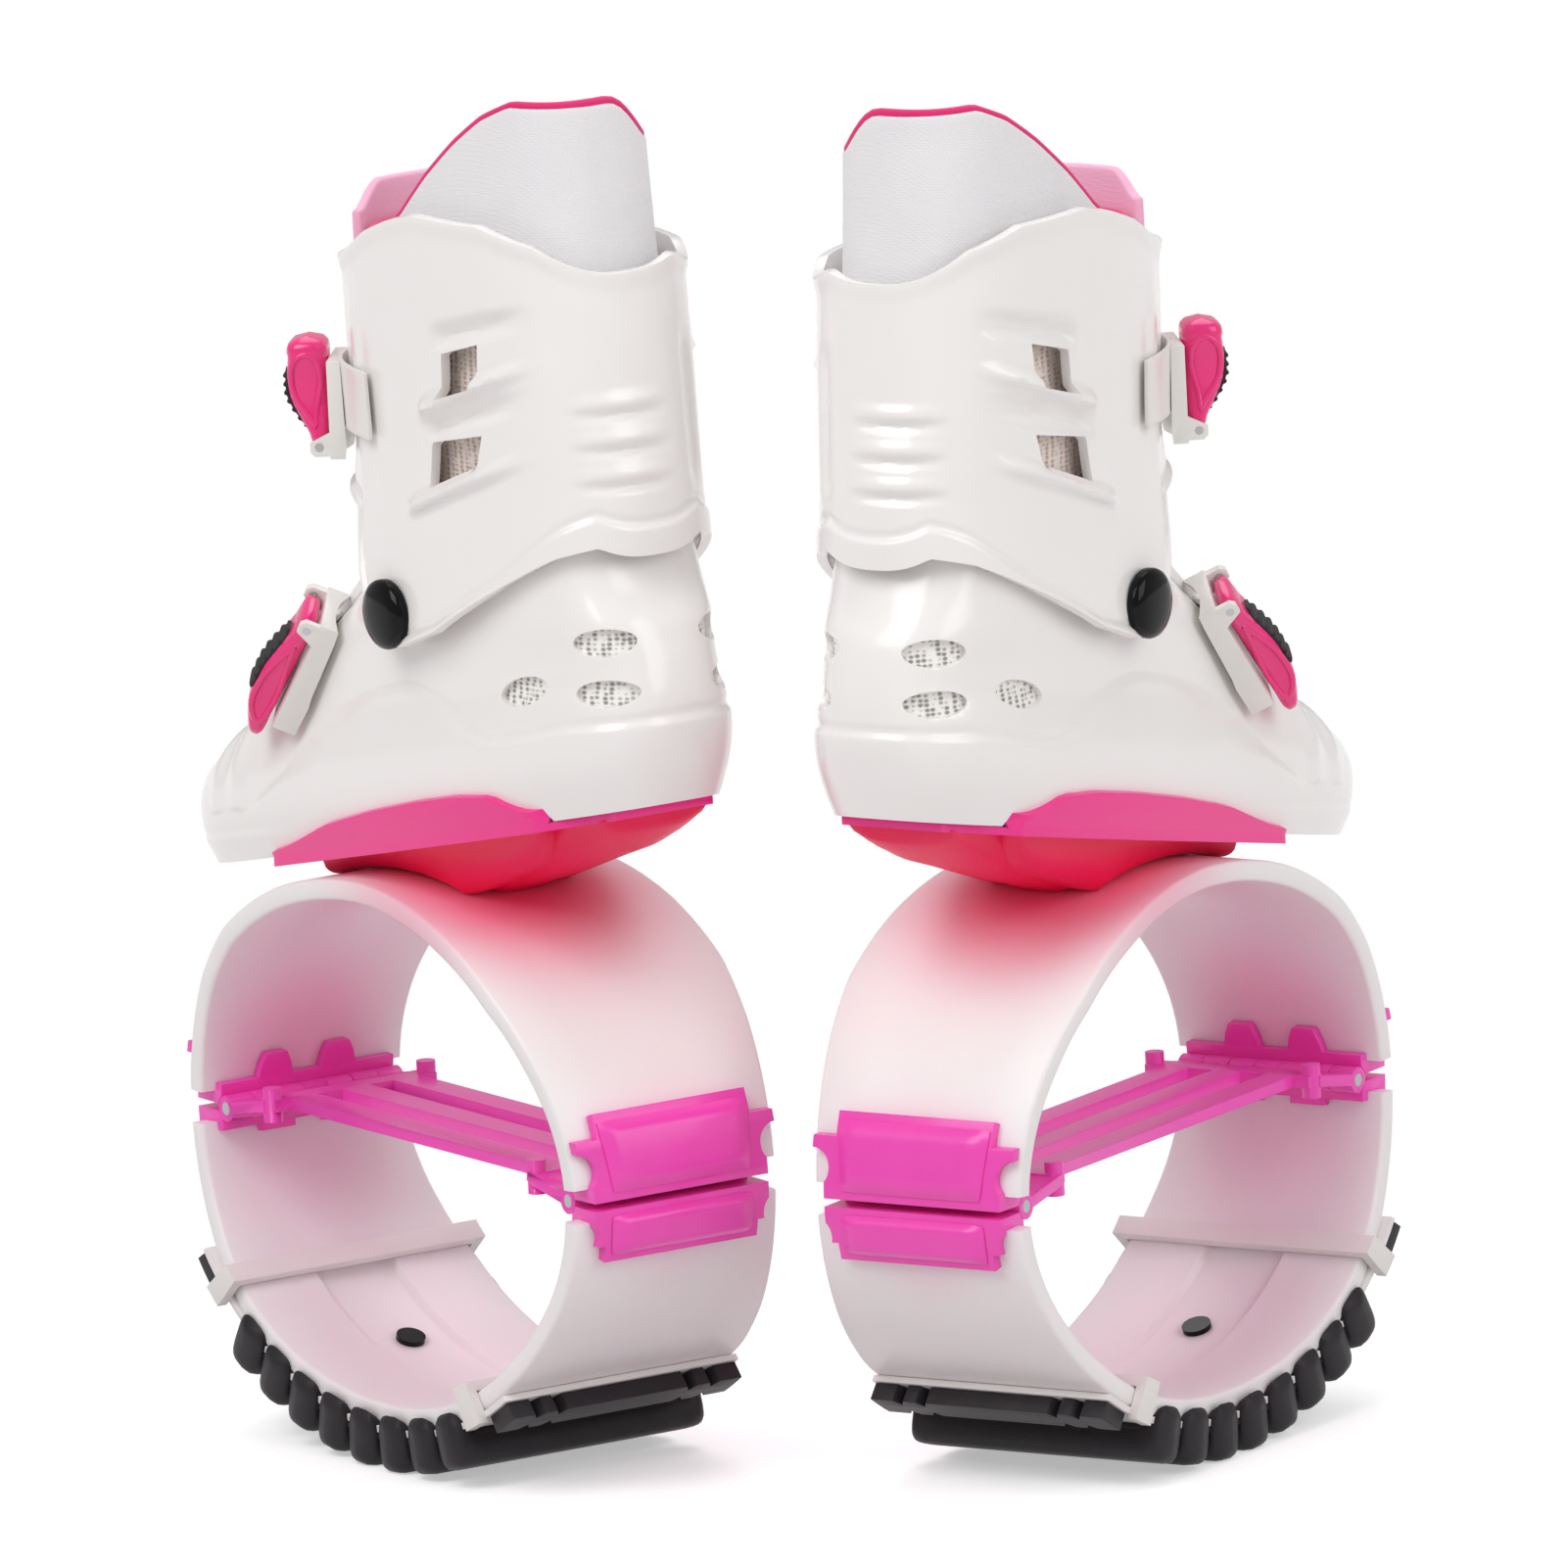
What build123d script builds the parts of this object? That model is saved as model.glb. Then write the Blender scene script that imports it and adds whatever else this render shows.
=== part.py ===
from build123d import *
import math
import os

# Stance of the pair: both toes turned out, the right shoe standing a little further back
toe_out_deg = 32.5
stance_half_gap = 117.0
right_shoe_set_back = 51.0

# General fits
seat_gap = 0.25
running_gap = 0.5
overrun = 60.0

# Arches: two half-ellipse plastic leaf springs that meet at the front and rear hinges
arch_half_length = 134.0
arch_rise = 106.0
arch_drop = 102.0
arch_width = 104.0
arch_thickness = 8.0
arch_end_deg = 86.4

facet_deg = 3.0

# Channel along the inside of the bottom arch, with the tread screws in it
channel_width = 34.0
channel_depth = 2.6
channel_front_deg = 49.0
channel_rear_deg = 30.0

# Tread: a white carrier wrapped round the bottom arch, with rubber lugs under it
carrier_thickness = 2.6
carrier_front_deg = 60.0
carrier_rear_deg = 41.0
loop_wall = 4.2
loop_length_deg = 4.6
front_loop_deg = 50.5
rear_loop_deg = 31.5
rubber_thickness = 2.4
lug_height = 13.8
lug_count = 8
lug_pitch_deg = 8.6
lug_half_deg = 3.3
rear_lug_count = 3
lug_half_width = 56.5
lug_side_rise = 6.0
ground_flat = 0.5
bar_half_deg = 3.2
bar_height = 7.0
bar_half_width = 51.0
front_bar_deg = 56.5
rear_bar_deg = 37.2
tread_screw_x = 60.0
tread_screw_radius = 2.5
tread_screw_head_radius = 5.6
tread_screw_head_height = 2.0

# Hinges: an upper and a lower clip at each end, knuckled on one pin with the spring
hinge_x = 119.0
knuckle_radius = 5.0
pin_radius = 2.5
hinge_half_width = 38.6
wing_thickness = 4.0
clip_wall = 4.0
clip_split = 1.5
upper_wing_height = 33.0
lower_wing_height = 21.0
wing_hook_half_width = 44.0
wing_notch_radius = 7.5
inner_lip_height = 10.0
ear_width = 15.0
ear_offset = 14.0
upper_ear_height = 20.0
lower_ear_height = 13.0

# Tension spring: a flat frame of three bars between the hinge pins
spring_bar_width = 12.0
spring_bar_pitch = 23.0
spring_bar_count = 3
spring_thickness = 4.5
spring_height = 5.0
spring_cross_x = 92.0
spring_cross_width = 9.0
knob_radius = 3.6
knob_height = 13.0
knob_y = 34.5
barrel_end_length = 10.6
barrel_mid_half = 5.0

# Boot shell: lofted foot form, its sole sloping down towards the toe
boot_front = 149.0
boot_rear = 156.0
boot_half_width = 50.0
sole_height = 238.0
sole_slope_deg = 12.0
shell_wall = 3.5
shell_rise = 170.0
ring_squareness = 2.6
heel_squareness = 3.2
ring_points = 24

# Cuff: lofted leg form that rocks on the shell's rivets
leg_half_width = 49.0
leg_front = 28.0
leg_rear = 143.0
leg_low = 290.0
leg_height = 255.0
cuff_wall = 4.0
cuff_slit = 5.0
cuff_slit_y = 12.0
rivet_x = -35.0
rivet_z = 333.0
rivet_head_radius = 13.5
rivet_head_height = 4.5
rivet_shaft_radius = 4.0
rivet_seat_y = 53.4

# Soft parts
liner_wall = 6.0
liner_split_z = 366.0
shaft_inset = 11.5
shaft_rear_inset = 12.0
tongue_half_width = 27.0
tongue_outer_inset = 5.0
tongue_inner_inset = 9.6
tongue_low_z = 366.0
tongue_high_z = 487.0
insole_thickness = 4.0

# Straps and buckles
strap_thickness = 2.2
upper_strap_z = 410.0
upper_strap_width = 26.0
strap_back_x = -24.0
lower_strap_x = 46.0
lower_strap_z = 304.0
lower_strap_width = 26.0
lower_strap_slope_deg = 36.0
lower_strap_low_z = 268.0
buckle_azimuth_deg = 50.0
base_plate_thickness = 2.8
base_plate_depth = 12.0
base_plate_half_width = 14.2
ear_plate_thickness = 2.8
lever_half_width = 11.0
lever_pin_height = 7.0
lever_pin_radius = 1.6
lever_root_radius = 3.5
upper_lever_length = 41.0
lower_lever_length = 56.0
upper_lever_bulk = 18.0
lower_lever_bulk = 14.0
insert_thickness = 1.6
insert_half_width = 8.0

# Sole plate and its bolts
plate_wall = 3.2
plate_front_x = 72.0
plate_rear_x = -146.0
flange_rise = 17.0
hull_half_width = 32.0
hull_front_x = 56.0
hull_front_lift = 3.2
bolt_x = 22.0
bolt_y = 14.0
bolt_radius = 3.0
bolt_head_radius = 5.5
bolt_head_height = 3.0
bolt_reach = 5.0

# Sizes that follow from the driving ones
tread_depth = 2 * seat_gap + carrier_thickness + lug_height
hinge_z = arch_drop + tread_depth - ground_flat
crown_z = hinge_z + arch_rise
sole_tan = math.tan(math.radians(sole_slope_deg))
arch_half_width = arch_width / 2


def arch_point(inset, angle, upper):
    """A point on an arch ellipse: angle 0 is the crown or the sole, 90 the hinge line."""
    rise = (arch_rise if upper else arch_drop) - inset
    turn = math.radians(angle)
    along = (arch_half_length - inset) * math.sin(turn)
    height = rise * math.cos(turn)
    return Vector(along, 0, hinge_z + (height if upper else -height))


def arch_sector(outset_a, outset_b, start_deg, end_deg, low_y, high_y, upper=False):
    """A strip that follows an arch, between two offsets from its outer face."""
    count = max(2, math.ceil(abs(end_deg - start_deg) / facet_deg))
    angles = [start_deg + step / count * (end_deg - start_deg) for step in range(count + 1)]
    face_a = [arch_point(-outset_a, angle, upper) for angle in angles]
    face_b = [arch_point(-outset_b, angle, upper) for angle in reversed(angles)]
    outline = Wire(Polyline(*face_a, *face_b, close=True).edges())
    strip = extrude(Face(outline), high_y - low_y, dir=(0, 1, 0))
    return Pos(0, low_y, 0) * strip


def arch_ring(outset_a, outset_b, end_deg, half_width, upper):
    """The half-ellipse leaf itself, on true ellipse edges."""
    rise = arch_rise if upper else arch_drop
    outer = Ellipse(arch_half_length + outset_b, rise + outset_b)
    inner = Ellipse(arch_half_length + outset_a, rise + outset_a)
    keep = arch_point(0, end_deg, upper).Z - hinge_z
    tall = arch_half_length + overrun
    side = 1 if upper else -1
    window = Pos(0, keep + side * tall / 2) * Rectangle(2 * tall, tall)
    leaf = extrude(Plane.XZ * ((outer - inner) & window), half_width, both=True)
    return Pos(0, 0, hinge_z) * leaf


def plan_prism(shares, length, half_width):
    """A tall prism over a plan outline given by one quarter of it, from the middle to the tip."""
    quarter = [(x * length, y * half_width) for x, y in shares]
    back = [(-x, y) for x, y in reversed(quarter[1:])]
    outline = back + quarter
    outline += [(x, -y) for x, y in reversed(outline)]
    face = Face(Wire(Polyline(*[(x, y, 0) for x, y in outline], close=True).edges()))
    return extrude(face, 2 * (hinge_z + arch_rise), dir=(0, 0, 1))


def side_region(points, half_width=None):
    """A prism across the shoe over an outline drawn in the side view."""
    width = boot_half_width + overrun if half_width is None else half_width
    face = Face(Wire(Polyline(*[(x, 0, z) for x, z in points], close=True).edges()))
    return extrude(face, width, dir=(0, 1, 0)) + extrude(face, width, dir=(0, -1, 0))


def ring_line(height, slope_deg, mid, front, rear, half_width, rear_squareness=ring_squareness):
    """Points of a closed outline round the foot or leg, on a plane that slopes down forwards."""
    slope = math.tan(math.radians(slope_deg))
    points = []
    for step in range(ring_points):
        turn = 2 * math.pi * (step + 0.5) / ring_points
        along, across = math.cos(turn), math.sin(turn)
        power = 2 / (ring_squareness if along > 0 else rear_squareness)
        reach = front - mid if along > 0 else mid - rear
        x = mid + math.copysign(abs(along) ** power, along) * reach
        y = math.copysign(abs(across) ** power, across) * half_width
        points.append(Vector(x, y, height - slope * x))
    return points


def skin(rings):
    """A closed solid over a stack of rings, in flat facets."""
    def facet(*points):
        return Face(Wire(Polyline(*points, close=True).edges()))

    faces = [facet(*rings[0]), facet(*rings[-1])]
    for low, high in zip(rings, rings[1:]):
        for step in range(ring_points):
            after = (step + 1) % ring_points
            faces.append(facet(low[step], low[after], high[after]))
            faces.append(facet(low[step], high[after], high[step]))
    return Solid(Shell(faces))


# Boot rings: height over the sole as a share of the rise, slope as a share of the sole's,
# then mid, front, rear and half width as shares of the boot's own sizes
boot_ring_shares = (
    (0.000, 1.00, 0.35, 0.953, 0.955, 0.90),
    (0.095, 1.00, 0.35, 1.000, 0.985, 1.00),
    (0.200, 0.96, 0.30, 0.973, 1.000, 0.985),
    (0.318, 0.90, 0.12, 0.730, 0.985, 0.89),
    (0.453, 0.75, -0.12, 0.430, 0.950, 0.86),
    (0.600, 0.50, -0.28, 0.150, 0.885, 0.845),
    (0.765, 0.33, -0.35, 0.108, 0.830, 0.84),
    (1.000, 0.10, -0.36, 0.094, 0.820, 0.84),
)

# Leg rings: height as a share of the leg's, then front, rear and half width shares
leg_ring_shares = (
    (0.000, 2.60, 0.960, 1.12),
    (0.150, 2.10, 0.985, 1.08),
    (0.270, 1.30, 1.000, 1.02),
    (0.392, 0.96, 1.000, 0.98),
    (0.570, 1.05, 0.970, 1.00),
    (0.765, 1.00, 0.930, 1.03),
    (1.000, 0.90, 0.900, 1.01),
)
leg_mid_share = -0.37


def boot_form(offset):
    """The foot form grown or shrunk by an offset, open at the top for trimming."""
    rings = []
    for rise, slope, mid, front, rear, width in boot_ring_shares:
        height = sole_height + rise * shell_rise - (offset if rise == 0 else 0)
        rings.append(ring_line(
            height, slope * sole_slope_deg, mid * boot_front,
            front * boot_front + offset, -rear * boot_rear - offset,
            width * boot_half_width + offset, heel_squareness,
        ))
    return skin(rings)


def leg_form(offset, rear_offset=None):
    """The leg form grown or shrunk by an offset, which may differ at the back."""
    back = offset if rear_offset is None else rear_offset
    rings = []
    for rise, front, rear, width in leg_ring_shares:
        rings.append(ring_line(
            leg_low + rise * leg_height, 0, leg_mid_share * leg_rear,
            front * leg_front + offset, -rear * leg_rear - back,
            width * leg_half_width + offset,
        ))
    return skin(rings)


# Plan of a leaf from its middle to its tip: shares of its half length and half width
leaf_plan_shares = ((0, 0.96), (0.45, 1.00), (0.70, 1.00), (0.86, 0.94), (1.01, 0.86))


def make_top_arch():
    """Upper leaf, with the holes for the sole bolts in its crown."""
    leaf = arch_ring(-arch_thickness, 0, arch_end_deg, arch_half_width, True)
    leaf &= plan_prism(leaf_plan_shares, arch_half_length, arch_half_width)
    for x in (-bolt_x, bolt_x):
        for y in (-bolt_y, bolt_y):
            leaf -= Pos(x, y, crown_z) * Cylinder(bolt_radius + seat_gap, 4 * arch_thickness)
    return leaf


def make_bottom_arch():
    """Lower leaf, with its inner channel and the holes for the tread screws."""
    leaf = arch_ring(-arch_thickness, 0, arch_end_deg, arch_half_width, False)
    leaf &= plan_prism(leaf_plan_shares, arch_half_length, arch_half_width)
    depth = arch_thickness - channel_depth
    leaf -= arch_sector(
        -arch_thickness - channel_depth, -depth, -channel_rear_deg, channel_front_deg,
        -channel_width / 2, channel_width / 2,
    )
    for place in screw_places():
        leaf -= place * Cylinder(tread_screw_radius + seat_gap, 4 * arch_thickness)
    return leaf


def screw_places():
    """Where the tread screws stand, square to the bottom arch."""
    places = []
    for x in (-tread_screw_x, tread_screw_x):
        angle = math.degrees(math.asin(x / arch_half_length))
        point = arch_point(0, angle, False)
        turn = math.radians(angle)
        normal = Vector(arch_drop * math.sin(turn), 0, -arch_half_length * math.cos(turn))
        places.append(Plane(origin=point, x_dir=(0, 1, 0), z_dir=-normal).location)
    return places


def make_tread_screws():
    """Two screws through the bottom arch into the tread carrier."""
    screws = []
    floor = arch_thickness - channel_depth
    for place in screw_places():
        shaft_length = floor + carrier_thickness
        shaft = Pos(0, 0, floor - shaft_length / 2) * Cylinder(tread_screw_radius, shaft_length)
        lift = floor + seat_gap + tread_screw_head_height / 2
        head = Pos(0, 0, lift) * Cylinder(tread_screw_head_radius, tread_screw_head_height)
        neck = Pos(0, 0, floor) * Cylinder(tread_screw_radius, 2 * seat_gap)
        screws.append(place * (shaft + neck + head))
    return screws


def make_tread_base():
    """White carrier under the bottom arch, with a loop round the arch near each end."""
    outer = seat_gap + carrier_thickness
    inner = -arch_thickness - seat_gap
    side = arch_half_width + seat_gap
    base = arch_sector(seat_gap, outer, -carrier_rear_deg, carrier_front_deg, -side, side)
    for centre in (front_loop_deg, -rear_loop_deg):
        low, high = centre - loop_length_deg / 2, centre + loop_length_deg / 2
        base += arch_sector(inner - loop_wall, inner, low, high, -side - loop_wall, side + loop_wall)
        for flank in (-1, 1):
            edges = sorted((flank * side, flank * (side + loop_wall)))
            base += arch_sector(inner - loop_wall, outer + loop_wall / 2, low, high, *edges)
    for place in screw_places():
        base -= place * Cylinder(tread_screw_radius, 4 * arch_thickness)
    return base


def make_tread():
    """Rubber strip with its lugs, and the two end bars."""
    low = 2 * seat_gap + carrier_thickness
    side = arch_half_width + seat_gap
    rear_end = -(rear_lug_count - 0.5) * lug_pitch_deg - lug_half_deg
    front_end = (lug_count - rear_lug_count - 0.5) * lug_pitch_deg + lug_half_deg
    rubber = arch_sector(low, low + rubber_thickness, rear_end, front_end, -side, side)
    for index in range(lug_count):
        centre = (index - rear_lug_count + 0.5) * lug_pitch_deg
        start, end = centre - lug_half_deg, centre + lug_half_deg
        rubber += arch_sector(low, low + lug_height, start, end, -lug_half_width, lug_half_width)
        for flank in (-1, 1):
            edges = sorted((flank * (side + seat_gap), flank * lug_half_width))
            rubber += arch_sector(-lug_side_rise, low + lug_height, start, end, *edges)
    ground = Pos(0, 0, -overrun) * Box(4 * arch_half_length, 4 * arch_width, 2 * overrun)
    bars = []
    for centre in (front_bar_deg, -rear_bar_deg):
        start, end = centre - bar_half_deg, centre + bar_half_deg
        bars.append(arch_sector(low, low + bar_height, start, end, -bar_half_width, bar_half_width))
    return [rubber - ground] + bars


def knuckle(y_low, y_high, radius=None):
    """A hinge barrel blank on the front pin's axis."""
    size = knuckle_radius if radius is None else radius
    barrel = Cylinder(size, y_high - y_low, rotation=(90, 0, 0))
    return Pos(hinge_x, (y_low + y_high) / 2, hinge_z) * barrel


mid_edge = barrel_mid_half + seat_gap
end_edge = hinge_half_width - barrel_end_length - seat_gap
half_edge = (mid_edge + end_edge) / 2
spring_spans = (
    (-hinge_half_width, -end_edge - seat_gap),
    (-barrel_mid_half, barrel_mid_half),
    (end_edge + seat_gap, hinge_half_width),
)
upper_spans = ((mid_edge, half_edge - seat_gap), (-end_edge, -half_edge - seat_gap))
lower_spans = ((half_edge + seat_gap, end_edge), (-half_edge + seat_gap, -mid_edge))


def wing_angle(height, upper):
    """The arch angle at a height from the hinge line."""
    return math.degrees(math.acos(height / (arch_rise if upper else arch_drop)))


def make_clip(upper):
    """One front clip: outer wing, floor under the arch's end, inner lip with ears, knuckles."""
    wing_height = upper_wing_height if upper else lower_wing_height
    ear_height = upper_ear_height if upper else lower_ear_height
    inner = -arch_thickness - seat_gap
    start = wing_angle(clip_split, upper)
    floor_top = wing_angle(arch_point(0, arch_end_deg, True).Z - hinge_z - seat_gap, upper)
    hook = wing_hook_half_width
    wing = arch_sector(
        seat_gap, seat_gap + wing_thickness, start, wing_angle(wing_height, upper), -hook, hook, upper)
    side = 1 if upper else -1
    notch_z = hinge_z + side * (clip_split + wing_notch_radius + wing_thickness)
    for flank in (-1, 1):
        centre = Pos(arch_half_length, flank * hook, notch_z)
        wing -= centre * Cylinder(wing_notch_radius, overrun, rotation=(0, 90, 0))
        foot = Box(overrun, 2 * (hook - hinge_half_width), 2 * (wing_notch_radius + wing_thickness))
        wing -= Pos(arch_half_length, flank * hook, hinge_z) * foot
    clip = wing + arch_sector(
        inner - clip_wall, seat_gap + wing_thickness, start, floor_top,
        -hinge_half_width, hinge_half_width, upper)
    clip += arch_sector(
        inner - clip_wall, inner, start, wing_angle(inner_lip_height, upper),
        -hinge_half_width, hinge_half_width, upper)
    for flank in (-1, 1):
        low = flank * ear_offset - ear_width / 2
        clip += arch_sector(
            inner - clip_wall, inner, start, wing_angle(ear_height, upper),
            low, low + ear_width, upper)
    own = upper_spans if upper else lower_spans
    other = (lower_spans if upper else upper_spans) + spring_spans
    for low, high in own:
        clip += knuckle(low, high)
    for low, high in other:
        clip -= knuckle(low - seat_gap, high + seat_gap, knuckle_radius + seat_gap)
    clip -= knuckle(-overrun, overrun, pin_radius + seat_gap / 5)
    return clip


def make_hinge_pins():
    """One pin through each hinge."""
    pin = knuckle(-hinge_half_width, hinge_half_width, pin_radius)
    return [pin, mirror(pin, about=Plane.YZ)]


def make_tension_spring():
    """Flat three-bar frame with a knob at each corner and barrels at both ends."""
    level = hinge_z + spring_height
    half_span = (spring_bar_count - 1) / 2 * spring_bar_pitch
    half_frame = half_span + spring_bar_width / 2
    spring = None
    for index in range(spring_bar_count):
        y = -half_span + index * spring_bar_pitch
        bar = Pos(0, y, level) * Box(2 * spring_cross_x, spring_bar_width, spring_thickness)
        spring = bar if spring is None else spring + bar
    cross = Box(spring_cross_width, 2 * half_frame, spring_thickness)
    for side in (-1, 1):
        spring += Pos(side * spring_cross_x, 0, level) * cross
        for flank in (-1, 1):
            arm = Box(spring_cross_width, knob_y - half_frame + knob_radius, spring_thickness)
            arm_y = flank * (half_frame + knob_y) / 2
            spring += Pos(side * spring_cross_x, arm_y, level) * arm
            knob = Cylinder(knob_radius, knob_height)
            spring += Pos(side * spring_cross_x, flank * knob_y, level) * knob
    neck_low = hinge_z - spring_thickness / 2
    web = side_region((
        (spring_cross_x, level - spring_thickness / 2),
        (spring_cross_x, level + spring_thickness / 2),
        (hinge_x, neck_low + spring_thickness),
        (hinge_x, neck_low),
    ), hinge_half_width)
    for low, high in upper_spans + lower_spans:
        web -= knuckle(low - seat_gap, high + seat_gap, knuckle_radius + seat_gap)
    for low, high in spring_spans:
        web += knuckle(low, high)
    web -= knuckle(-overrun, overrun, pin_radius + seat_gap / 5)
    spring += web
    return spring + mirror(web, about=Plane.YZ)


def sole_line(x, lift):
    """Height of the boot's sole plane at x, plus a lift."""
    return sole_height - sole_tan * x + lift


# Underside of the hull behind the crown: x and drop under the sole, as shares of the
# boot's rear length
hull_shares = (
    (-0.250, 0.165), (-0.449, 0.141), (-0.577, 0.125), (-0.737, 0.105), (-0.840, 0.060),
    (-0.862, 0.014),
)


def make_sole_plate():
    """Pink cradle: a cup under the shell on a hull that sits on the arch's crown."""
    cup = boot_form(seat_gap + plate_wall) - boot_form(seat_gap)
    top = flange_rise
    cup &= side_region((
        (plate_front_x, sole_line(plate_front_x, -plate_wall * 2)),
        (plate_front_x, sole_line(plate_front_x, top / 4)),
        (plate_front_x * 0.5, sole_line(plate_front_x * 0.5, top)),
        (plate_rear_x * 0.6, sole_line(plate_rear_x * 0.6, top)),
        (plate_rear_x * 0.66, sole_line(plate_rear_x * 0.66, top / 4)),
        (plate_rear_x, sole_line(plate_rear_x, top / 4)),
        (plate_rear_x, sole_line(plate_rear_x, -plate_wall * 2)),
    ))
    underside = [(x * boot_rear, sole_line(x * boot_rear, -drop * boot_rear)) for x, drop in hull_shares]
    hull = side_region([
        (hull_front_x, sole_line(hull_front_x, -hull_front_lift)),
        (hull_front_x, crown_z - arch_rise / 2),
        (underside[0][0], crown_z - arch_rise / 2),
        *underside,
    ], hull_half_width)
    keep_out = extrude(
        Plane.XZ * Ellipse(arch_half_length + seat_gap, arch_rise + seat_gap), arch_width, both=True)
    hull -= Pos(0, 0, hinge_z) * keep_out
    hull -= boot_form(seat_gap)
    plate = cup + hull
    plate -= Pos(0, 0, hinge_z) * keep_out
    for x in (-bolt_x, bolt_x):
        for y in (-bolt_y, bolt_y):
            plate -= Pos(x, y, crown_z) * Cylinder(bolt_radius, 2 * bolt_reach)
    return plate


def make_sole_bolts():
    """Four bolts up through the crown of the top arch into the sole plate."""
    bolts = []
    drop = arch_rise * (1 - math.sqrt(1 - (bolt_x / arch_half_length) ** 2))
    seat = crown_z - arch_thickness - 2 * drop - seat_gap
    for x in (-bolt_x, bolt_x):
        for y in (-bolt_y, bolt_y):
            length = crown_z + bolt_reach - seat
            shaft = Pos(x, y, seat + length / 2) * Cylinder(bolt_radius, length)
            head = Pos(x, y, seat - bolt_head_height / 2) * Cylinder(bolt_head_radius, bolt_head_height)
            bolts.append(shaft + head)
    return bolts


# Shell top edge in the side view, as shares of the boot's length behind and before the
# origin and of the shell's rise over the sole height
shell_top_shares = (
    (-1.20, 0.765), (-0.80, 0.765), (-0.30, 0.780), (0.02, 0.690), (0.24, 0.470),
    (0.50, 0.320), (0.56, 0.420), (1.20, 0.420), (1.20, -0.400), (-1.20, -0.400),
)


def shell_point(x_share, z_share):
    """A side-view point from shares of the boot's size."""
    return (x_share * boot_front, sole_height + z_share * shell_rise)


# Vents in the heel: x share of the boot's rear, side share of its half width, height share
# of the rise, facing direction from the side, tilt, and half width and half height shares
vent_shares = (
    (-0.675, 0.78, 0.430, 14.0, 16.0, 0.26, 0.105),
    (-0.910, 0.52, 0.555, 40.0, 4.0, 0.25, 0.105),
    (-0.922, 0.52, 0.445, 40.0, 4.0, 0.26, 0.100),
)


def vent_cutters():
    """Oval cutters for the heel vents of both sides."""
    cutters = []
    for x, y, z, facing, tilt, half_long, half_high in vent_shares:
        for flank in (-1, 1):
            turn = math.radians(facing)
            outward = Vector(-math.sin(turn), flank * math.cos(turn), 0)
            along = Vector(-math.cos(turn), -flank * math.sin(turn), 0)
            origin = (x * boot_rear, flank * y * boot_half_width, sole_height + z * shell_rise)
            plane = Plane(origin=origin, x_dir=along, z_dir=outward)
            oval = Rot(0, 0, flank * tilt) * Ellipse(half_long * boot_half_width, half_high * boot_half_width)
            cutters.append(extrude(plane * oval, boot_half_width / 3, both=True))
    return cutters


def rivet_cut(radius):
    """A bore across the boot on the cuff's axis."""
    return Pos(rivet_x, 0, rivet_z) * Cylinder(radius, 4 * boot_half_width, rotation=(90, 0, 0))


def make_shell():
    """Hard boot shell with an open instep, heel vents and rivet holes."""
    shell = boot_form(0) - boot_form(-shell_wall)
    shell &= side_region([shell_point(x, z) for x, z in shell_top_shares])
    for cutter in vent_cutters():
        shell -= cutter
    shell -= rivet_cut(rivet_shaft_radius)
    return shell


# Cuff side view: shares of the leg's rear length and of its height over its low end
cuff_edge_shares = (
    (-1.30, 0.278), (-1.00, 0.282), (-0.96, 0.306), (-0.88, 0.290), (-0.77, 0.255),
    (-0.63, 0.212), (-0.46, 0.157), (-0.29, 0.122), (-0.20, 0.134), (-0.12, 0.176),
    (-0.085, 0.215), (-0.06, 0.260), (-0.045, 0.310), (0.40, 0.360), (0.40, 0.665),
    (0.02, 0.675), (-0.02, 0.690), (-0.09, 0.706), (-0.19, 0.737), (-0.31, 0.762),
    (-0.43, 0.778), (-0.69, 0.778), (-0.83, 0.752), (-0.895, 0.724), (-0.94, 0.702),
    (-1.00, 0.692), (-1.30, 0.692),
)

# Cuff windows: four corners each, in the same shares
window_shares = (
    ((-0.515, 0.576), (-0.664, 0.600), (-0.655, 0.534), (-0.505, 0.508)),
    ((-0.445, 0.438), (-0.660, 0.463), (-0.636, 0.414), (-0.425, 0.369)),
)


def cuff_point(x_share, z_share):
    """A side-view point from shares of the leg's size."""
    return (x_share * leg_rear, leg_low + z_share * leg_height)


def make_cuff():
    """Cuff with its side windows, front slit and rivet holes."""
    cuff = leg_form(0) - leg_form(-cuff_wall)
    cuff &= side_region([cuff_point(x, z) for x, z in cuff_edge_shares])
    for corners in window_shares:
        cuff -= side_region([cuff_point(x, z) for x, z in corners])
    slit_height = 2 * leg_height
    slit = Box(leg_rear, cuff_slit, slit_height, align=(Align.MIN, Align.CENTER, Align.CENTER))
    cuff -= Pos(0, -cuff_slit_y, leg_low) * slit
    cuff -= rivet_cut(rivet_shaft_radius + seat_gap / 5)
    return cuff


def make_cuff_rivets():
    """A domed rivet on each side, through the cuff into the shell."""
    rivets = []
    keep_out = leg_form(running_gap)
    for flank in (-1, 1):
        surface = rivet_seat_y
        head = Cylinder(rivet_head_radius, 2 * rivet_head_height, rotation=(90, 0, 0))
        head = Pos(rivet_x, flank * surface, rivet_z) * head
        head = fillet(head.edges().sort_by(Axis.Y)[-1 if flank > 0 else 0], rivet_head_height / 2)
        head -= keep_out
        inside = 0.86 * boot_half_width - shell_wall
        length = surface + rivet_head_height / 2 - inside
        shaft = Cylinder(rivet_shaft_radius, length, rotation=(90, 0, 0))
        rivets.append(head + Pos(rivet_x, flank * (inside + length / 2), rivet_z) * shaft)
    return rivets


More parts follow.
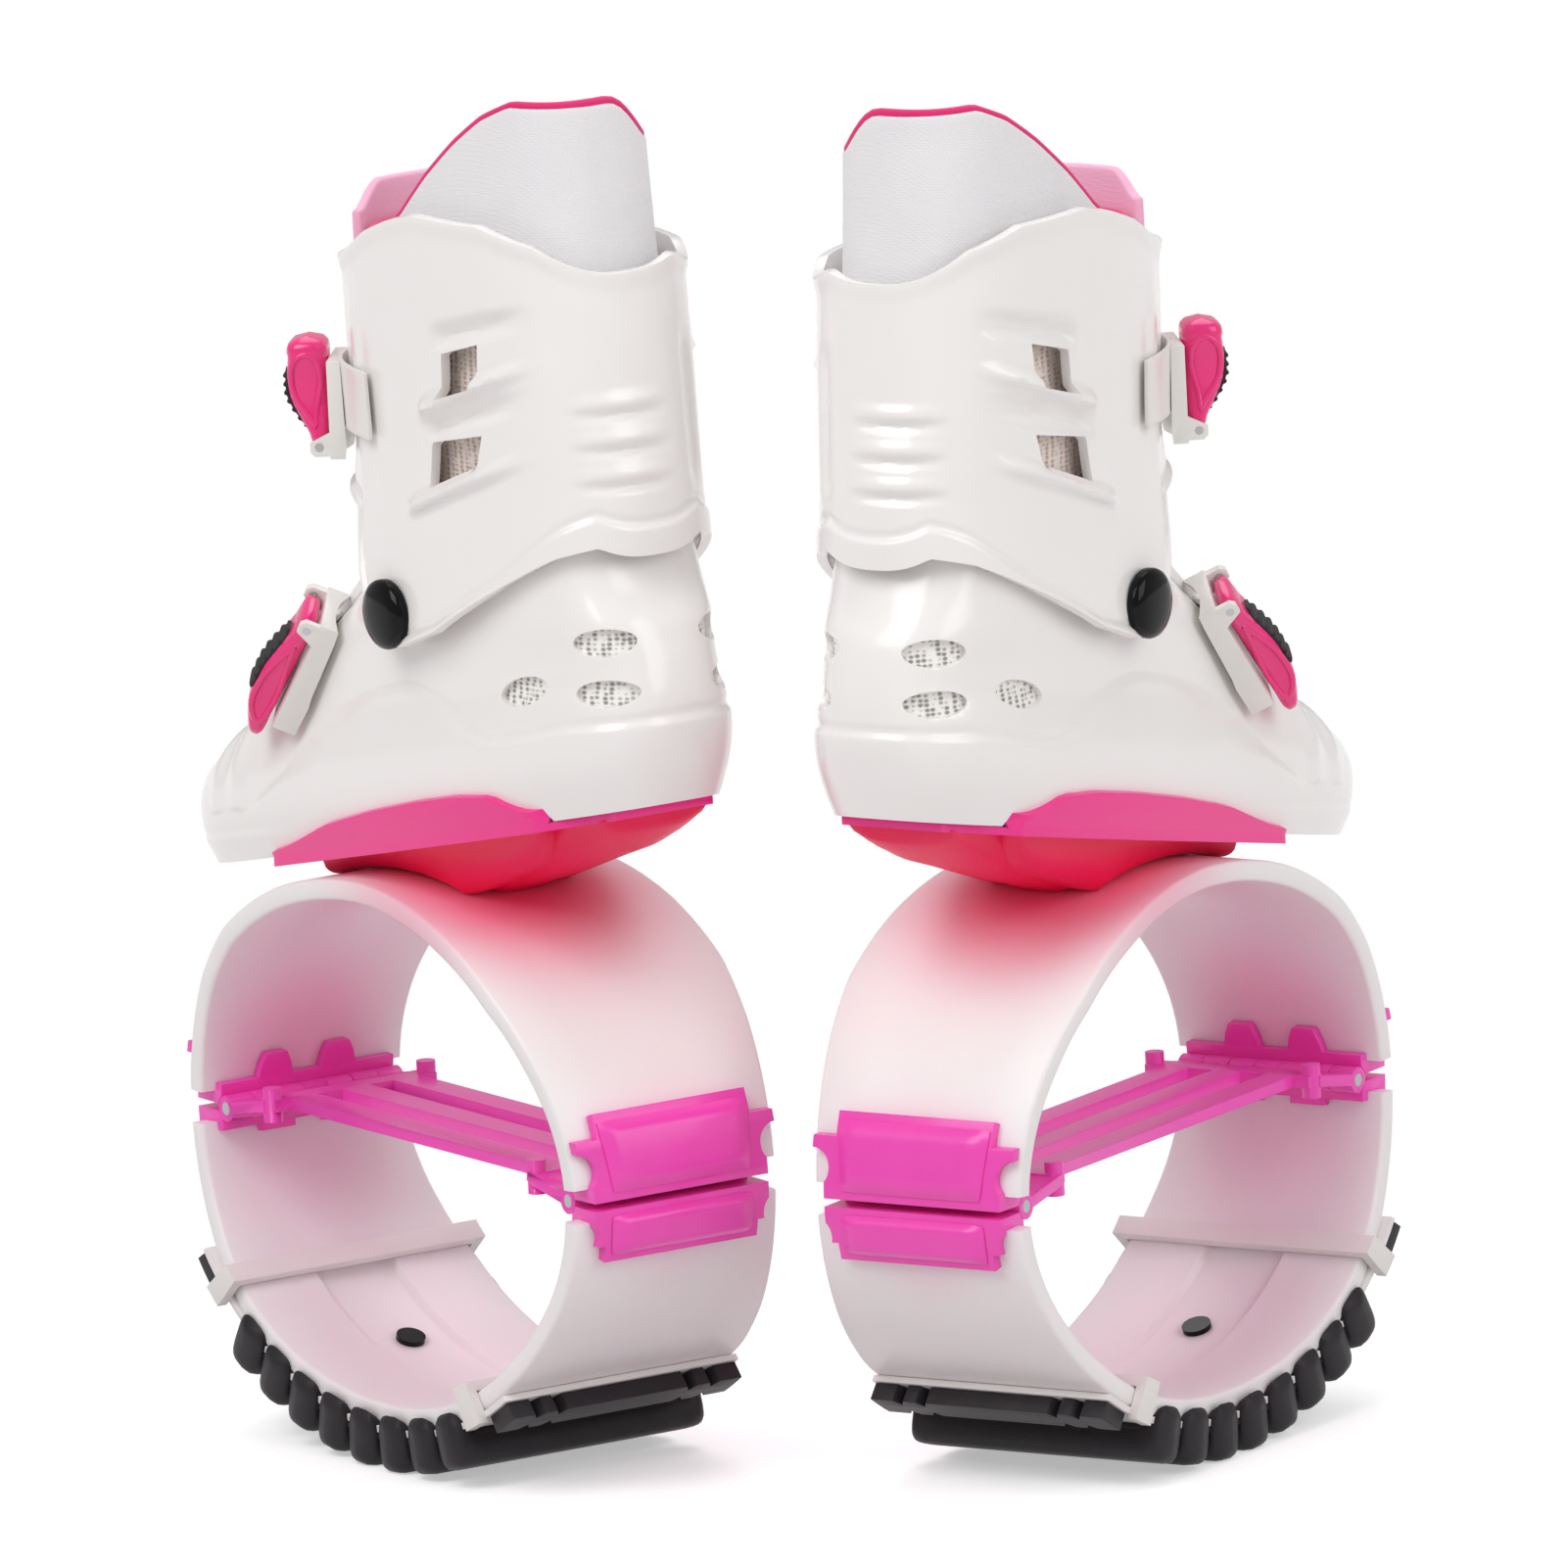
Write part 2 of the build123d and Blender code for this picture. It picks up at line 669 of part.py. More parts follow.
def make_liner():
    """Foot part of the soft inner boot."""
    outer = shell_wall + seat_gap
    liner = boot_form(-outer) - boot_form(-outer - liner_wall)
    split = Pos(0, 0, liner_split_z / 2) * Box(4 * boot_front, 4 * boot_half_width, liner_split_z)
    liner &= split
    return liner - rivet_cut(rivet_shaft_radius * 2)


# Liner top edge in the side view, in the cuff's shares
liner_edge_shares = (
    (-1.30, 0.935), (-0.90, 0.958), (-0.82, 0.976), (-0.713, 0.968), (-0.629, 0.936),
    (-0.521, 0.888), (-0.385, 0.824), (-0.266, 0.764), (-0.14, 0.715), (0.40, 0.690),
    (0.40, 0.311), (-1.30, 0.311),
)


def make_liner_shaft():
    """Leg part of the soft inner boot, high at the back and low at the front."""
    liner = leg_form(-shaft_inset, -shaft_rear_inset)
    liner -= leg_form(-shaft_inset - liner_wall, -shaft_rear_inset - liner_wall)
    return liner & side_region([cuff_point(x, z) for x, z in liner_edge_shares])


def make_tongue():
    """Padded tongue behind the cuff's front."""
    tongue = leg_form(-tongue_outer_inset) - leg_form(-tongue_inner_inset)
    height = tongue_high_z - tongue_low_z
    block = Box(leg_rear, 2 * tongue_half_width, height, align=(Align.MIN, Align.CENTER, Align.MIN))
    return tongue & (Pos(0, 0, tongue_low_z) * block)


def make_insole():
    """Foot bed inside the liner."""
    inset = shell_wall + liner_wall + 3 * seat_gap
    form = boot_form(-inset)
    low = sole_line(0, inset - seat_gap)
    slab = side_region((
        (-2 * boot_rear, low + 2 * boot_rear * sole_tan),
        (2 * boot_front, low - 2 * boot_front * sole_tan),
        (2 * boot_front, low - 2 * boot_front * sole_tan + insole_thickness),
        (-2 * boot_rear, low + 2 * boot_rear * sole_tan + insole_thickness),
    ))
    return form & slab


def make_upper_strap():
    """Band round the front of the cuff."""
    band = leg_form(seat_gap + strap_thickness) - leg_form(seat_gap)
    block = Box(leg_rear, 4 * leg_half_width, upper_strap_width, align=(Align.MIN, Align.CENTER, Align.CENTER))
    return band & (Pos(strap_back_x, 0, upper_strap_z) * block)


def make_lower_strap():
    """Band over the instep."""
    band = boot_form(seat_gap + strap_thickness) - boot_form(seat_gap)
    slab = Box(lower_strap_width, 4 * boot_half_width, 2 * shell_rise)
    band &= Pos(lower_strap_x, 0, lower_strap_z) * Rot(0, lower_strap_slope_deg, 0) * slab
    above = Pos(0, 0, lower_strap_low_z) * Box(
        4 * boot_front, 4 * boot_half_width, shell_rise, align=(Align.CENTER, Align.CENTER, Align.MIN))
    return band & above


def lever_profile(length, bulk, lift):
    """Side outline of a lever in its own frame, from the pin to the tip."""
    root = lever_root_radius
    return (
        (-root, lift), (-root * 0.6, lift + root * 0.8), (length * 0.10, lift + root * 1.6),
        (length * 0.35, bulk * 0.86), (length * 0.70, bulk), (length * 0.92, bulk * 0.86),
        (length, bulk * 0.55), (length * 0.93, lift - root + seat_gap * 2), (root, lift - root),
        (-root * 0.6, lift - root * 0.8),
    )


def make_buckle(plane, length, bulk, keep_out):
    """Base plate with ears, lever, grip insert and pin, placed on a plane."""
    def prism(points, half_width):
        face = Face(Wire(Polyline(*[(x, 0, z) for x, z in points], close=True).edges()))
        return extrude(face, half_width, dir=(0, 1, 0)) + extrude(face, half_width, dir=(0, -1, 0))

    def bore(radius, half_width):
        pin = Cylinder(radius, 2 * half_width, rotation=(90, 0, 0))
        return Pos(0, 0, lever_pin_height) * pin

    root = lever_root_radius
    plate_top = lever_pin_height - root - running_gap
    base = prism((
        (-1.3 * root, plate_top - base_plate_depth), (-1.3 * root, plate_top),
        (length * 0.8, plate_top), (length * 0.8, plate_top - base_plate_depth),
    ), base_plate_half_width)
    for flank in (-1, 1):
        ear = prism((
            (-root, plate_top - base_plate_thickness), (-root, lever_pin_height + root / 2),
            (-root / 2, lever_pin_height + root), (root / 2, lever_pin_height + root),
            (root * 2, plate_top - base_plate_thickness),
        ), ear_plate_thickness / 2)
        base += Pos(0, flank * (base_plate_half_width - ear_plate_thickness / 2), 0) * ear
    base -= bore(lever_pin_radius, base_plate_half_width * 2)
    lever = prism(lever_profile(length, bulk, lever_pin_height), lever_half_width)
    lever -= bore(lever_pin_radius + seat_gap / 5, base_plate_half_width * 2)
    profile = lever_profile(length, bulk, lever_pin_height)
    start, end = Vector(profile[3][0], 0, profile[3][1]), Vector(profile[4][0], 0, profile[4][1])
    rise = (end - start).normalized()
    normal = Vector(-rise.Z, 0, rise.X)
    insert = prism([
        (p.X, p.Z) for p in (start, start + normal * insert_thickness,
                             end + normal * insert_thickness, end)
    ], insert_half_width)
    pin = bore(lever_pin_radius, base_plate_half_width)
    seated = plane.location * base - keep_out
    return seated, plane.location * lever, plane.location * insert, plane.location * pin


# Buckle places: pin height, and the point on the form that each plane stands over
upper_buckle_origin = Vector(16.0, 36.0, 390.0)
lower_buckle_origin = Vector(29.0, 38.5, 320.0)
lower_buckle_run = Vector(31.0, 9.0, -48.5)


def upper_buckle_plane():
    """Frame of the upper buckle: x up the leg, z outwards."""
    turn = math.radians(buckle_azimuth_deg)
    outward = Vector(math.cos(turn), math.sin(turn), 0)
    return Plane(origin=upper_buckle_origin, x_dir=(0, 0, 1), z_dir=outward)


def lower_buckle_plane():
    """Frame of the lower buckle: x down the instep, z outwards."""
    turn = math.radians(buckle_azimuth_deg)
    run = lower_buckle_run.normalized()
    outward = Vector(math.cos(turn), math.sin(turn), 0)
    outward = outward - run * outward.dot(run)
    return Plane(origin=lower_buckle_origin, x_dir=run, z_dir=outward)


def make_shoe():
    """Every node of one left shoe in its own frame: x to the toe, y to the outer side."""
    strap_top = 2 * seat_gap + strap_thickness
    upper = make_buckle(
        upper_buckle_plane(), upper_lever_length, upper_lever_bulk, leg_form(strap_top))
    lower = make_buckle(
        lower_buckle_plane(), lower_lever_length, lower_lever_bulk, boot_form(strap_top))
    front_upper, front_lower = make_clip(True), make_clip(False)
    return {
        "tread": make_tread(),
        "tread_base": [make_tread_base()],
        "tread_screws": make_tread_screws(),
        "bottom_arch": [make_bottom_arch()],
        "top_arch": [make_top_arch()],
        "front_hinge_upper": [front_upper],
        "front_hinge_lower": [front_lower],
        "rear_hinge_upper": [mirror(front_upper, about=Plane.YZ)],
        "rear_hinge_lower": [mirror(front_lower, about=Plane.YZ)],
        "hinge_pins": make_hinge_pins(),
        "tension_spring": [make_tension_spring()],
        "sole_plate": [make_sole_plate()],
        "sole_bolts": make_sole_bolts(),
        "shell": [make_shell()],
        "cuff": [make_cuff()],
        "cuff_rivets": make_cuff_rivets(),
        "liner": [make_liner()],
        "liner_shaft": [make_liner_shaft()],
        "tongue": [make_tongue()],
        "insole": [make_insole()],
        "upper_strap": [make_upper_strap()],
        "upper_buckle_base": [upper[0]],
        "upper_lever": [upper[1]],
        "upper_lever_grip": [upper[2]],
        "upper_buckle_pin": [upper[3]],
        "lower_strap": [make_lower_strap()],
        "lower_buckle_base": [lower[0]],
        "lower_lever": [lower[1]],
        "lower_lever_grip": [lower[2]],
        "lower_buckle_pin": [lower[3]],
    }


def placed_pair(shoe):
    """Both shoes in their stance, by node name."""
    nodes = {}
    left = Pos(-stance_half_gap, 0, 0) * Rot(0, 0, 90 + toe_out_deg)
    for name, solids in shoe.items():
        placed = [left * solid for solid in solids]
        nodes["left_" + name] = placed
        nodes["right_" + name] = [
            Pos(0, -right_shoe_set_back, 0) * mirror(solid, about=Plane.YZ) for solid in placed
        ]
    return nodes


def main():
    """Build the pair, centre it on the ground and write one file for each node."""
    os.makedirs("parts", exist_ok=True)
    nodes = placed_pair(make_shoe())
    boxes = [solid.bounding_box() for solids in nodes.values() for solid in solids]
    low_x, high_x = min(box.min.X for box in boxes), max(box.max.X for box in boxes)
    low_y, high_y = min(box.min.Y for box in boxes), max(box.max.Y for box in boxes)
    home = Pos(-(low_x + high_x) / 2, -(low_y + high_y) / 2, 0)
    for name, solids in nodes.items():
        moved = [home * solid for solid in solids]
        export_step(moved[0] if len(moved) == 1 else Compound(children=moved), f"parts/{name}.step")


if __name__ == "__main__":
    main()
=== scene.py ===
import logging
import math
from dataclasses import dataclass, field
from enum import Enum
from typing import Callable, Iterable, Optional, Sequence

import bmesh
import bpy
import numpy as np
from mathutils import Matrix, Vector


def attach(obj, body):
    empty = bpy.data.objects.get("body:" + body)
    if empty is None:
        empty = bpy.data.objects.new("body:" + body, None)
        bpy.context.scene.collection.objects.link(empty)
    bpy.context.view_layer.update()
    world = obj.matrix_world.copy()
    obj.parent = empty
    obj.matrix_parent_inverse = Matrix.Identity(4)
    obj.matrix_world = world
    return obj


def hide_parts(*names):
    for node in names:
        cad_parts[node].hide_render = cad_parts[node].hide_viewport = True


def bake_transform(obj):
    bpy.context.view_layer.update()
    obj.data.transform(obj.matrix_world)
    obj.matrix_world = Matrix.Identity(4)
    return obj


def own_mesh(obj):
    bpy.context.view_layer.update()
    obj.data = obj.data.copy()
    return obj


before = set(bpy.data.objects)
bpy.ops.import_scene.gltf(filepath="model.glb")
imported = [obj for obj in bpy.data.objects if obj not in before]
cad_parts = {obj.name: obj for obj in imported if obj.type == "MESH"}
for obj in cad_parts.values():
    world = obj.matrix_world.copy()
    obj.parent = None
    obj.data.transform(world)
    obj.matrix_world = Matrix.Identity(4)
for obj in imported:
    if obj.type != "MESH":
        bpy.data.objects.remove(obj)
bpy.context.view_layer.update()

log = logging.getLogger("jumping_shoes")

Point = tuple[float, float, float]
MM = 0.001


class Side(Enum):
    """Which shoe of the pair."""

    LEFT = "left"
    RIGHT = "right"


# --------------------------------------------------------------------------------------
# The stance of the pair, and the sizes that the shoes share (millimetres)
# --------------------------------------------------------------------------------------


@dataclass(frozen=True)
class Stance:
    """Where each shoe stands."""

    toe_out_deg: float = 32.5
    half_gap: float = 117.0
    set_back: float = 51.0

    def matrix(self, side: Side) -> Matrix:
        """The move from a shoe's own millimetres to the pair's metres.

        Args:
            side: the shoe.

        Returns:
            A matrix; the right shoe's one mirrors.
        """
        turn = Matrix.Rotation(math.radians(90 + self.toe_out_deg), 4, "Z")
        left = Matrix.Translation((-self.half_gap, self.set_back / 2, 0)) @ turn
        if side is Side.RIGHT:
            flip = Matrix.Diagonal((-1, 1, 1, 1))
            left = Matrix.Translation((0, -self.set_back, 0)) @ flip @ left
        return Matrix.Diagonal((MM, MM, MM, 1)) @ left


@dataclass(frozen=True)
class ArchSizes:
    """The two plastic leaves of the oval."""

    half_length: float = 134.0
    rise: float = 106.0
    drop: float = 102.0
    half_width: float = 52.0
    thickness: float = 8.0
    hinge_z: float = 118.4
    end_deg: float = 86.4
    plan_shares: tuple[tuple[float, float], ...] = ((0, 0.96), (0.45, 1.0), (0.70, 1.0), (0.86, 0.94), (1.01, 0.86))

    def half_at(self, x: float) -> float:
        """Half width of a leaf at x."""
        return self.half_width * interpolate(self.plan_shares, abs(x) / self.half_length)

    @property
    def crown_z(self) -> float:
        """Height of the oval's top."""
        return self.hinge_z + self.rise

    @property
    def floor_z(self) -> float:
        """Height of the oval's lowest outer point."""
        return self.hinge_z - self.drop

    def point(self, outset: float, angle: float, upper: bool) -> tuple[float, float]:
        """A side-view point of an arch.

        Args:
            outset: distance outside the outer face.
            angle: degrees from the crown or the sole towards the toe.
            upper: whether it is the top leaf.

        Returns:
            The point's x and z.
        """
        rise = (self.rise if upper else self.drop) + outset
        turn = math.radians(angle)
        height = rise * math.cos(turn)
        x = (self.half_length + outset) * math.sin(turn)
        return x, self.hinge_z + (height if upper else -height)


STANCE = Stance()
ARCH = ArchSizes()


# --------------------------------------------------------------------------------------
# Small mesh and node helpers
# --------------------------------------------------------------------------------------


def linear(code: str) -> tuple[float, float, float, float]:
    """Turn an sRGB hex colour to linear.

    Args:
        code: six hex digits, with or without a leading hash.

    Returns:
        Linear red, green, blue and an alpha of 1.
    """
    code = code.lstrip("#")
    parts = [int(code[i:i + 2], 16) / 255 for i in (0, 2, 4)]
    red, green, blue = [c / 12.92 if c <= 0.04045 else ((c + 0.055) / 1.055) ** 2.4 for c in parts]
    return red, green, blue, 1.0


def add_node(tree: bpy.types.NodeTree, kind: str, inputs: Optional[dict] = None, **settings: object) -> bpy.types.Node:
    """Add a node with its settings, input values and links.

    Args:
        tree: the node tree.
        kind: the node's type name.
        inputs: values or output sockets by input name or index.
        settings: attributes of the node.

    Returns:
        The new node.
    """
    node = tree.nodes.new(kind)
    for key, value in settings.items():
        setattr(node, key, value)
    for key, value in (inputs or {}).items():
        socket = node.inputs[key]
        if isinstance(value, bpy.types.NodeSocket):
            tree.links.new(value, socket)
        else:
            socket.default_value = value
    return node


def new_object(name: str, verts: Sequence[Sequence[float]], faces: Sequence[Sequence[int]]) -> bpy.types.Object:
    """Make a mesh object from points and faces."""
    mesh = bpy.data.meshes.new(name)
    mesh.from_pydata([tuple(v) for v in verts], [], [tuple(f) for f in faces])
    mesh.validate()
    obj = bpy.data.objects.new(name, mesh)
    bpy.context.scene.collection.objects.link(obj)
    return obj


def bake(obj: bpy.types.Object) -> bpy.types.Object:
    """Turn an object's live modifiers into a plain mesh.

    Args:
        obj: the object.

    Returns:
        The same object, with no modifiers.
    """
    bpy.context.view_layer.update()
    graph = bpy.context.evaluated_depsgraph_get()
    mesh = bpy.data.meshes.new_from_object(obj.evaluated_get(graph))
    obj.modifiers.clear()
    old = obj.data
    obj.data = mesh
    mesh.name = obj.name
    if isinstance(old, bpy.types.Mesh):
        bpy.data.meshes.remove(old)
    return obj


def outward(obj: bpy.types.Object) -> None:
    """Point every face of a closed mesh outwards."""
    work = bmesh.new()
    work.from_mesh(obj.data)
    bmesh.ops.remove_doubles(work, verts=work.verts, dist=1e-4)
    bmesh.ops.recalc_face_normals(work, faces=work.faces)
    work.to_mesh(obj.data)
    work.free()


def smooth(obj: bpy.types.Object, angle_deg: float = 40.0) -> None:
    """Shade a mesh smooth, with edges sharper than an angle kept."""
    mesh = obj.data
    mesh.shade_smooth()
    mesh.set_sharp_from_angle(angle=math.radians(angle_deg))


def soften(obj: bpy.types.Object, width: float, segments: int = 2, angle_deg: float = 32.0) -> bpy.types.Object:
    """Round the sharp edges of a mesh in millimetres."""
    bevel = obj.modifiers.new("round", "BEVEL")
    bevel.width = width
    bevel.segments = segments
    bevel.limit_method = "ANGLE"
    bevel.angle_limit = math.radians(angle_deg)
    bevel.use_clamp_overlap = True
    return bake(obj)


def thicken(obj: bpy.types.Object, wall: float, offset: float = -1.0) -> bpy.types.Object:
    """Give an open sheet a wall, on its inner side unless the offset says otherwise."""
    solid = obj.modifiers.new("wall", "SOLIDIFY")
    solid.thickness = wall
    solid.offset = offset
    solid.use_even_offset = False
    return bake(obj)


def cut(obj: bpy.types.Object, cutters: Iterable[bpy.types.Object]) -> bpy.types.Object:
    """Take cutters out of a closed mesh, and delete them."""
    for cutter in list(cutters):
        step = obj.modifiers.new("cut", "BOOLEAN")
        step.operation = "DIFFERENCE"
        step.solver = "MANIFOLD"
        step.object = cutter
        bake(obj)
        mesh = cutter.data
        bpy.data.objects.remove(cutter)
        bpy.data.meshes.remove(mesh)
    obj.data.materials.clear()
    return obj


def join(name: str, parts: Sequence[bpy.types.Object]) -> bpy.types.Object:
    """Merge several meshes into one object, with their materials kept."""
    mesh = bpy.data.meshes.new(name)
    work = bmesh.new()
    slots: list[bpy.types.Material] = []
    for part in parts:
        before = len(work.faces)
        work.from_mesh(part.data)
        work.faces.ensure_lookup_table()
        own = [slot.material for slot in part.material_slots]
        for face in work.faces[before:]:
            material = own[face.material_index] if own else None
            if material is not None:
                if material not in slots:
                    slots.append(material)
                face.material_index = slots.index(material)
    work.to_mesh(mesh)
    work.free()
    for material in slots:
        mesh.materials.append(material)
    for part in parts:
        old = part.data
        bpy.data.objects.remove(part)
        bpy.data.meshes.remove(old)
    obj = bpy.data.objects.new(name, mesh)
    bpy.context.scene.collection.objects.link(obj)
    return obj


def grid(name: str, rows: np.ndarray, close_u: bool = False, cap_first: bool = False,
         cap_last: bool = False) -> bpy.types.Object:
    """A mesh over a grid of points.

    Args:
        name: the object's name.
        rows: points by row, column and axis.
        close_u: whether each row closes on itself.
        cap_first: whether the first row is filled.
        cap_last: whether the last row is filled.

    Returns:
        The new object.
    """
    count_v, count_u = rows.shape[:2]
    verts = rows.reshape(-1, 3).tolist()
    faces = []
    last = count_u if close_u else count_u - 1
    for v in range(count_v - 1):
        for u in range(last):
            w = (u + 1) % count_u
            faces.append((v * count_u + u, v * count_u + w, (v + 1) * count_u + w, (v + 1) * count_u + u))
    if cap_first:
        faces.append(tuple(reversed(range(count_u))))
    if cap_last:
        faces.append(tuple((count_v - 1) * count_u + u for u in range(count_u)))
    return new_object(name, verts, faces)


def prism(name: str, outline: Sequence[tuple[float, float]], low: float, high: float) -> bpy.types.Object:
    """A solid across the shoe over an outline of x and z points."""
    count = len(outline)
    verts = [(x, low, z) for x, z in outline] + [(x, high, z) for x, z in outline]
    faces = [tuple(range(count)), tuple(reversed(range(count, 2 * count)))]
    faces += [(i, (i + 1) % count, count + (i + 1) % count, count + i) for i in range(count)]
    obj = new_object(name, verts, faces)
    outward(obj)
    return obj


def tube(name: str, path: np.ndarray, radius: float, sides: int = 10, closed: bool = False) -> bpy.types.Object:
    """A round tube of steady radius along a path of points."""
    count = len(path)
    rows = np.zeros((count, sides, 3))
    up = Vector((0, 0, 1))
    for i in range(count):
        after = Vector(path[(i + 1) % count] if closed or i + 1 < count else path[i])
        before = Vector(path[i - 1] if closed or i > 0 else path[i])
        along = (after - before).normalized()
        side = along.cross(up)
        side = side.normalized() if side.length > 0.1 else Vector((0, 1, 0))
        over = side.cross(along).normalized()
        for k in range(sides):
            turn = 2 * math.pi * k / sides
            rows[i, k] = Vector(path[i]) + radius * (math.cos(turn) * side + math.sin(turn) * over)
    if closed:
        rows = np.concatenate([rows, rows[:1]])
    obj = grid(name, rows, close_u=True, cap_first=not closed, cap_last=not closed)
    outward(obj)
    return obj


def ease(value: float, low: float, high: float) -> float:
    """A smooth step from 0 at low to 1 at high."""
    share = min(1.0, max(0.0, (value - low) / (high - low)))
    return share * share * (3 - 2 * share)


def hump(value: float, centre: float, half: float) -> float:
    """A smooth bump of 1 at its centre and 0 past its half width."""
    away = abs(value - centre) / half
    return (1 - away * away) ** 2 if away < 1 else 0.0


def signed_power(value: float, power: float) -> float:
    """A power of a value's size, with the value's sign."""
    return math.copysign(abs(value) ** power, value)


def interpolate(points: Sequence[tuple[float, float]], x: float) -> float:
    """Height of a given line of points at x, straight between them."""
    if x <= points[0][0]:
        return points[0][1]
    for (xa, ya), (xb, yb) in zip(points, points[1:]):
        if x <= xb:
            return ya + (yb - ya) * (x - xa) / (xb - xa)
    return points[-1][1]


# --------------------------------------------------------------------------------------
# Finishes
# --------------------------------------------------------------------------------------


@dataclass(frozen=True)
class Finish:
    """A surface finish: a name and how it is drawn."""

    name: str
    colour: str

    def start(self, **shader: object) -> tuple[bpy.types.Material, bpy.types.NodeTree, bpy.types.Node]:
        """Begin a material with one principled shader.

        Args:
            shader: values of the shader's inputs, with underscores for spaces.

        Returns:
            The material, its tree and the shader node.
        """
        material = bpy.data.materials.new(self.name)
        material.use_nodes = True
        tree = material.node_tree
        tree.nodes.clear()
        values = {key.replace("_", " "): value for key, value in shader.items()}
        body = add_node(tree, "ShaderNodeBsdfPrincipled", {"Base Color": linear(self.colour), **values})
        add_node(tree, "ShaderNodeOutputMaterial", {"Surface": body.outputs[0]})
        material.diffuse_color = linear(self.colour)
        return material, tree, body

    def place(self, tree: bpy.types.NodeTree, size_mm: Point) -> bpy.types.NodeSocket:
        """Object coordinates, counted in cells of a real size in millimetres."""
        coords = add_node(tree, "ShaderNodeTexCoord")
        scale = tuple(1 / (size * MM) for size in size_mm)
        mapping = add_node(tree, "ShaderNodeMapping", {"Vector": coords.outputs["Object"], "Scale": scale})
        return mapping.outputs[0]

    def bump(self, tree: bpy.types.NodeTree, body: bpy.types.Node, height: bpy.types.NodeSocket,
             depth_mm: float, strength: float = 1.0) -> None:
        """Feed a height in real millimetres to the shader's normal."""
        node = add_node(tree, "ShaderNodeBump", {"Height": height, "Strength": strength, "Distance": depth_mm * MM})
        tree.links.new(node.outputs[0], body.inputs["Normal"])

    def vary(self, tree: bpy.types.NodeTree, body: bpy.types.Node, factor: bpy.types.NodeSocket,
             other: str, amount: float) -> None:
        """Drift the base colour towards another colour by a factor."""
        share = add_node(tree, "ShaderNodeMath", {0: factor, 1: amount}, operation="MULTIPLY")
        mix = add_node(tree, "ShaderNodeMix", {
            0: share.outputs[0], 6: linear(self.colour), 7: linear(other)}, data_type="RGBA")
        tree.links.new(mix.outputs[2], body.inputs["Base Color"])


@dataclass(frozen=True)
class MouldedPlastic(Finish):
    """Injection-moulded plastic: a slight ripple from the mould and a faint drift in gloss."""

    roughness: float = 0.28
    coat: float = 0.25
    ripple_mm: float = 14.0
    depth_mm: float = 0.10
    drift: str = "#E9E6E0"
    ior: float = 1.49

    def build(self) -> bpy.types.Material:
        """Make the material."""
        material, tree, body = self.start(
            Roughness=self.roughness, IOR=self.ior, Coat_Weight=self.coat, Coat_Roughness=0.12)
        cells = self.place(tree, (self.ripple_mm,) * 3)
        ripple = add_node(tree, "ShaderNodeTexNoise", {"Vector": cells, "Scale": 1.0, "Detail": 2.0})
        fine = add_node(tree, "ShaderNodeTexNoise", {"Vector": cells, "Scale": 9.0, "Detail": 1.0})
        blend = add_node(tree, "ShaderNodeMix", {0: 0.02, 2: ripple.outputs[0], 3: fine.outputs[0]}, data_type="FLOAT")
        self.bump(tree, body, blend.outputs[0], self.depth_mm, 0.6)
        self.vary(tree, body, ripple.outputs[0], self.drift, 0.5)
        rough = add_node(tree, "ShaderNodeMapRange", {
            0: fine.outputs[0], 3: self.roughness * 0.85, 4: self.roughness * 1.2})
        tree.links.new(rough.outputs[0], body.inputs["Roughness"])
        return material


@dataclass(frozen=True)
class ArchPolymerPaintedPinkLight(Finish):
    """Milky translucent polyurethane with painted pink light: near the parts that touch it, its base colour turns to
    their pink, standing in for their light seen through and bounced into it.
    """

    # glow is the colour of the painted pink light, mixed into the base colour; nothing here emits light.
    glow: str = "#FF6FA4"
    pink_light_spots: tuple[tuple[Point, float, float], ...] = ()

    def build(self) -> bpy.types.Material:
        """Make the material, with painted pink light near each spot."""
        material, tree, body = self.start(
            Roughness=0.42, IOR=1.5, Subsurface_Weight=0.35, Subsurface_Radius=(0.010, 0.005, 0.006),
            Subsurface_Scale=1.0, Coat_Weight=0.08, Coat_Roughness=0.3)
        coords = add_node(tree, "ShaderNodeTexCoord")
        total: Optional[bpy.types.NodeSocket] = None
        # Each spot paints pink light into the base colour, fading out over its reach.
        for place, reach_mm, amount in self.pink_light_spots:
            away = add_node(tree, "ShaderNodeVectorMath", {0: coords.outputs["Object"], 1: place}, operation="DISTANCE")
            near = add_node(tree, "ShaderNodeMapRange", {
                0: away.outputs["Value"], 1: 0.0, 2: reach_mm * MM, 3: amount, 4: 0.0},
                interpolation_type="SMOOTHERSTEP")
            if total is None:
                total = near.outputs[0]
            else:
                total = add_node(tree, "ShaderNodeMath", {0: total, 1: near.outputs[0]}, operation="MAXIMUM").outputs[0]
        cloud = add_node(tree, "ShaderNodeTexNoise", {
            "Vector": self.place(tree, (45.0,) * 3), "Scale": 1.0, "Detail": 2.0})
        if total is not None:
            mottle = add_node(tree, "ShaderNodeMapRange", {0: cloud.outputs[0], 3: 0.85, 4: 1.15})
            share = add_node(tree, "ShaderNodeMath", {0: total, 1: mottle.outputs[0]}, operation="MULTIPLY")
            mix = add_node(tree, "ShaderNodeMix", {
                0: share.outputs[0], 6: linear(self.colour), 7: linear(self.glow)}, data_type="RGBA")
            tree.links.new(mix.outputs[2], body.inputs["Base Color"])
        grain = add_node(tree, "ShaderNodeTexNoise", {"Vector": self.place(tree, (1.6,) * 3), "Scale": 1.0})
        self.bump(tree, body, grain.outputs[0], 0.05, 0.5)
        return material


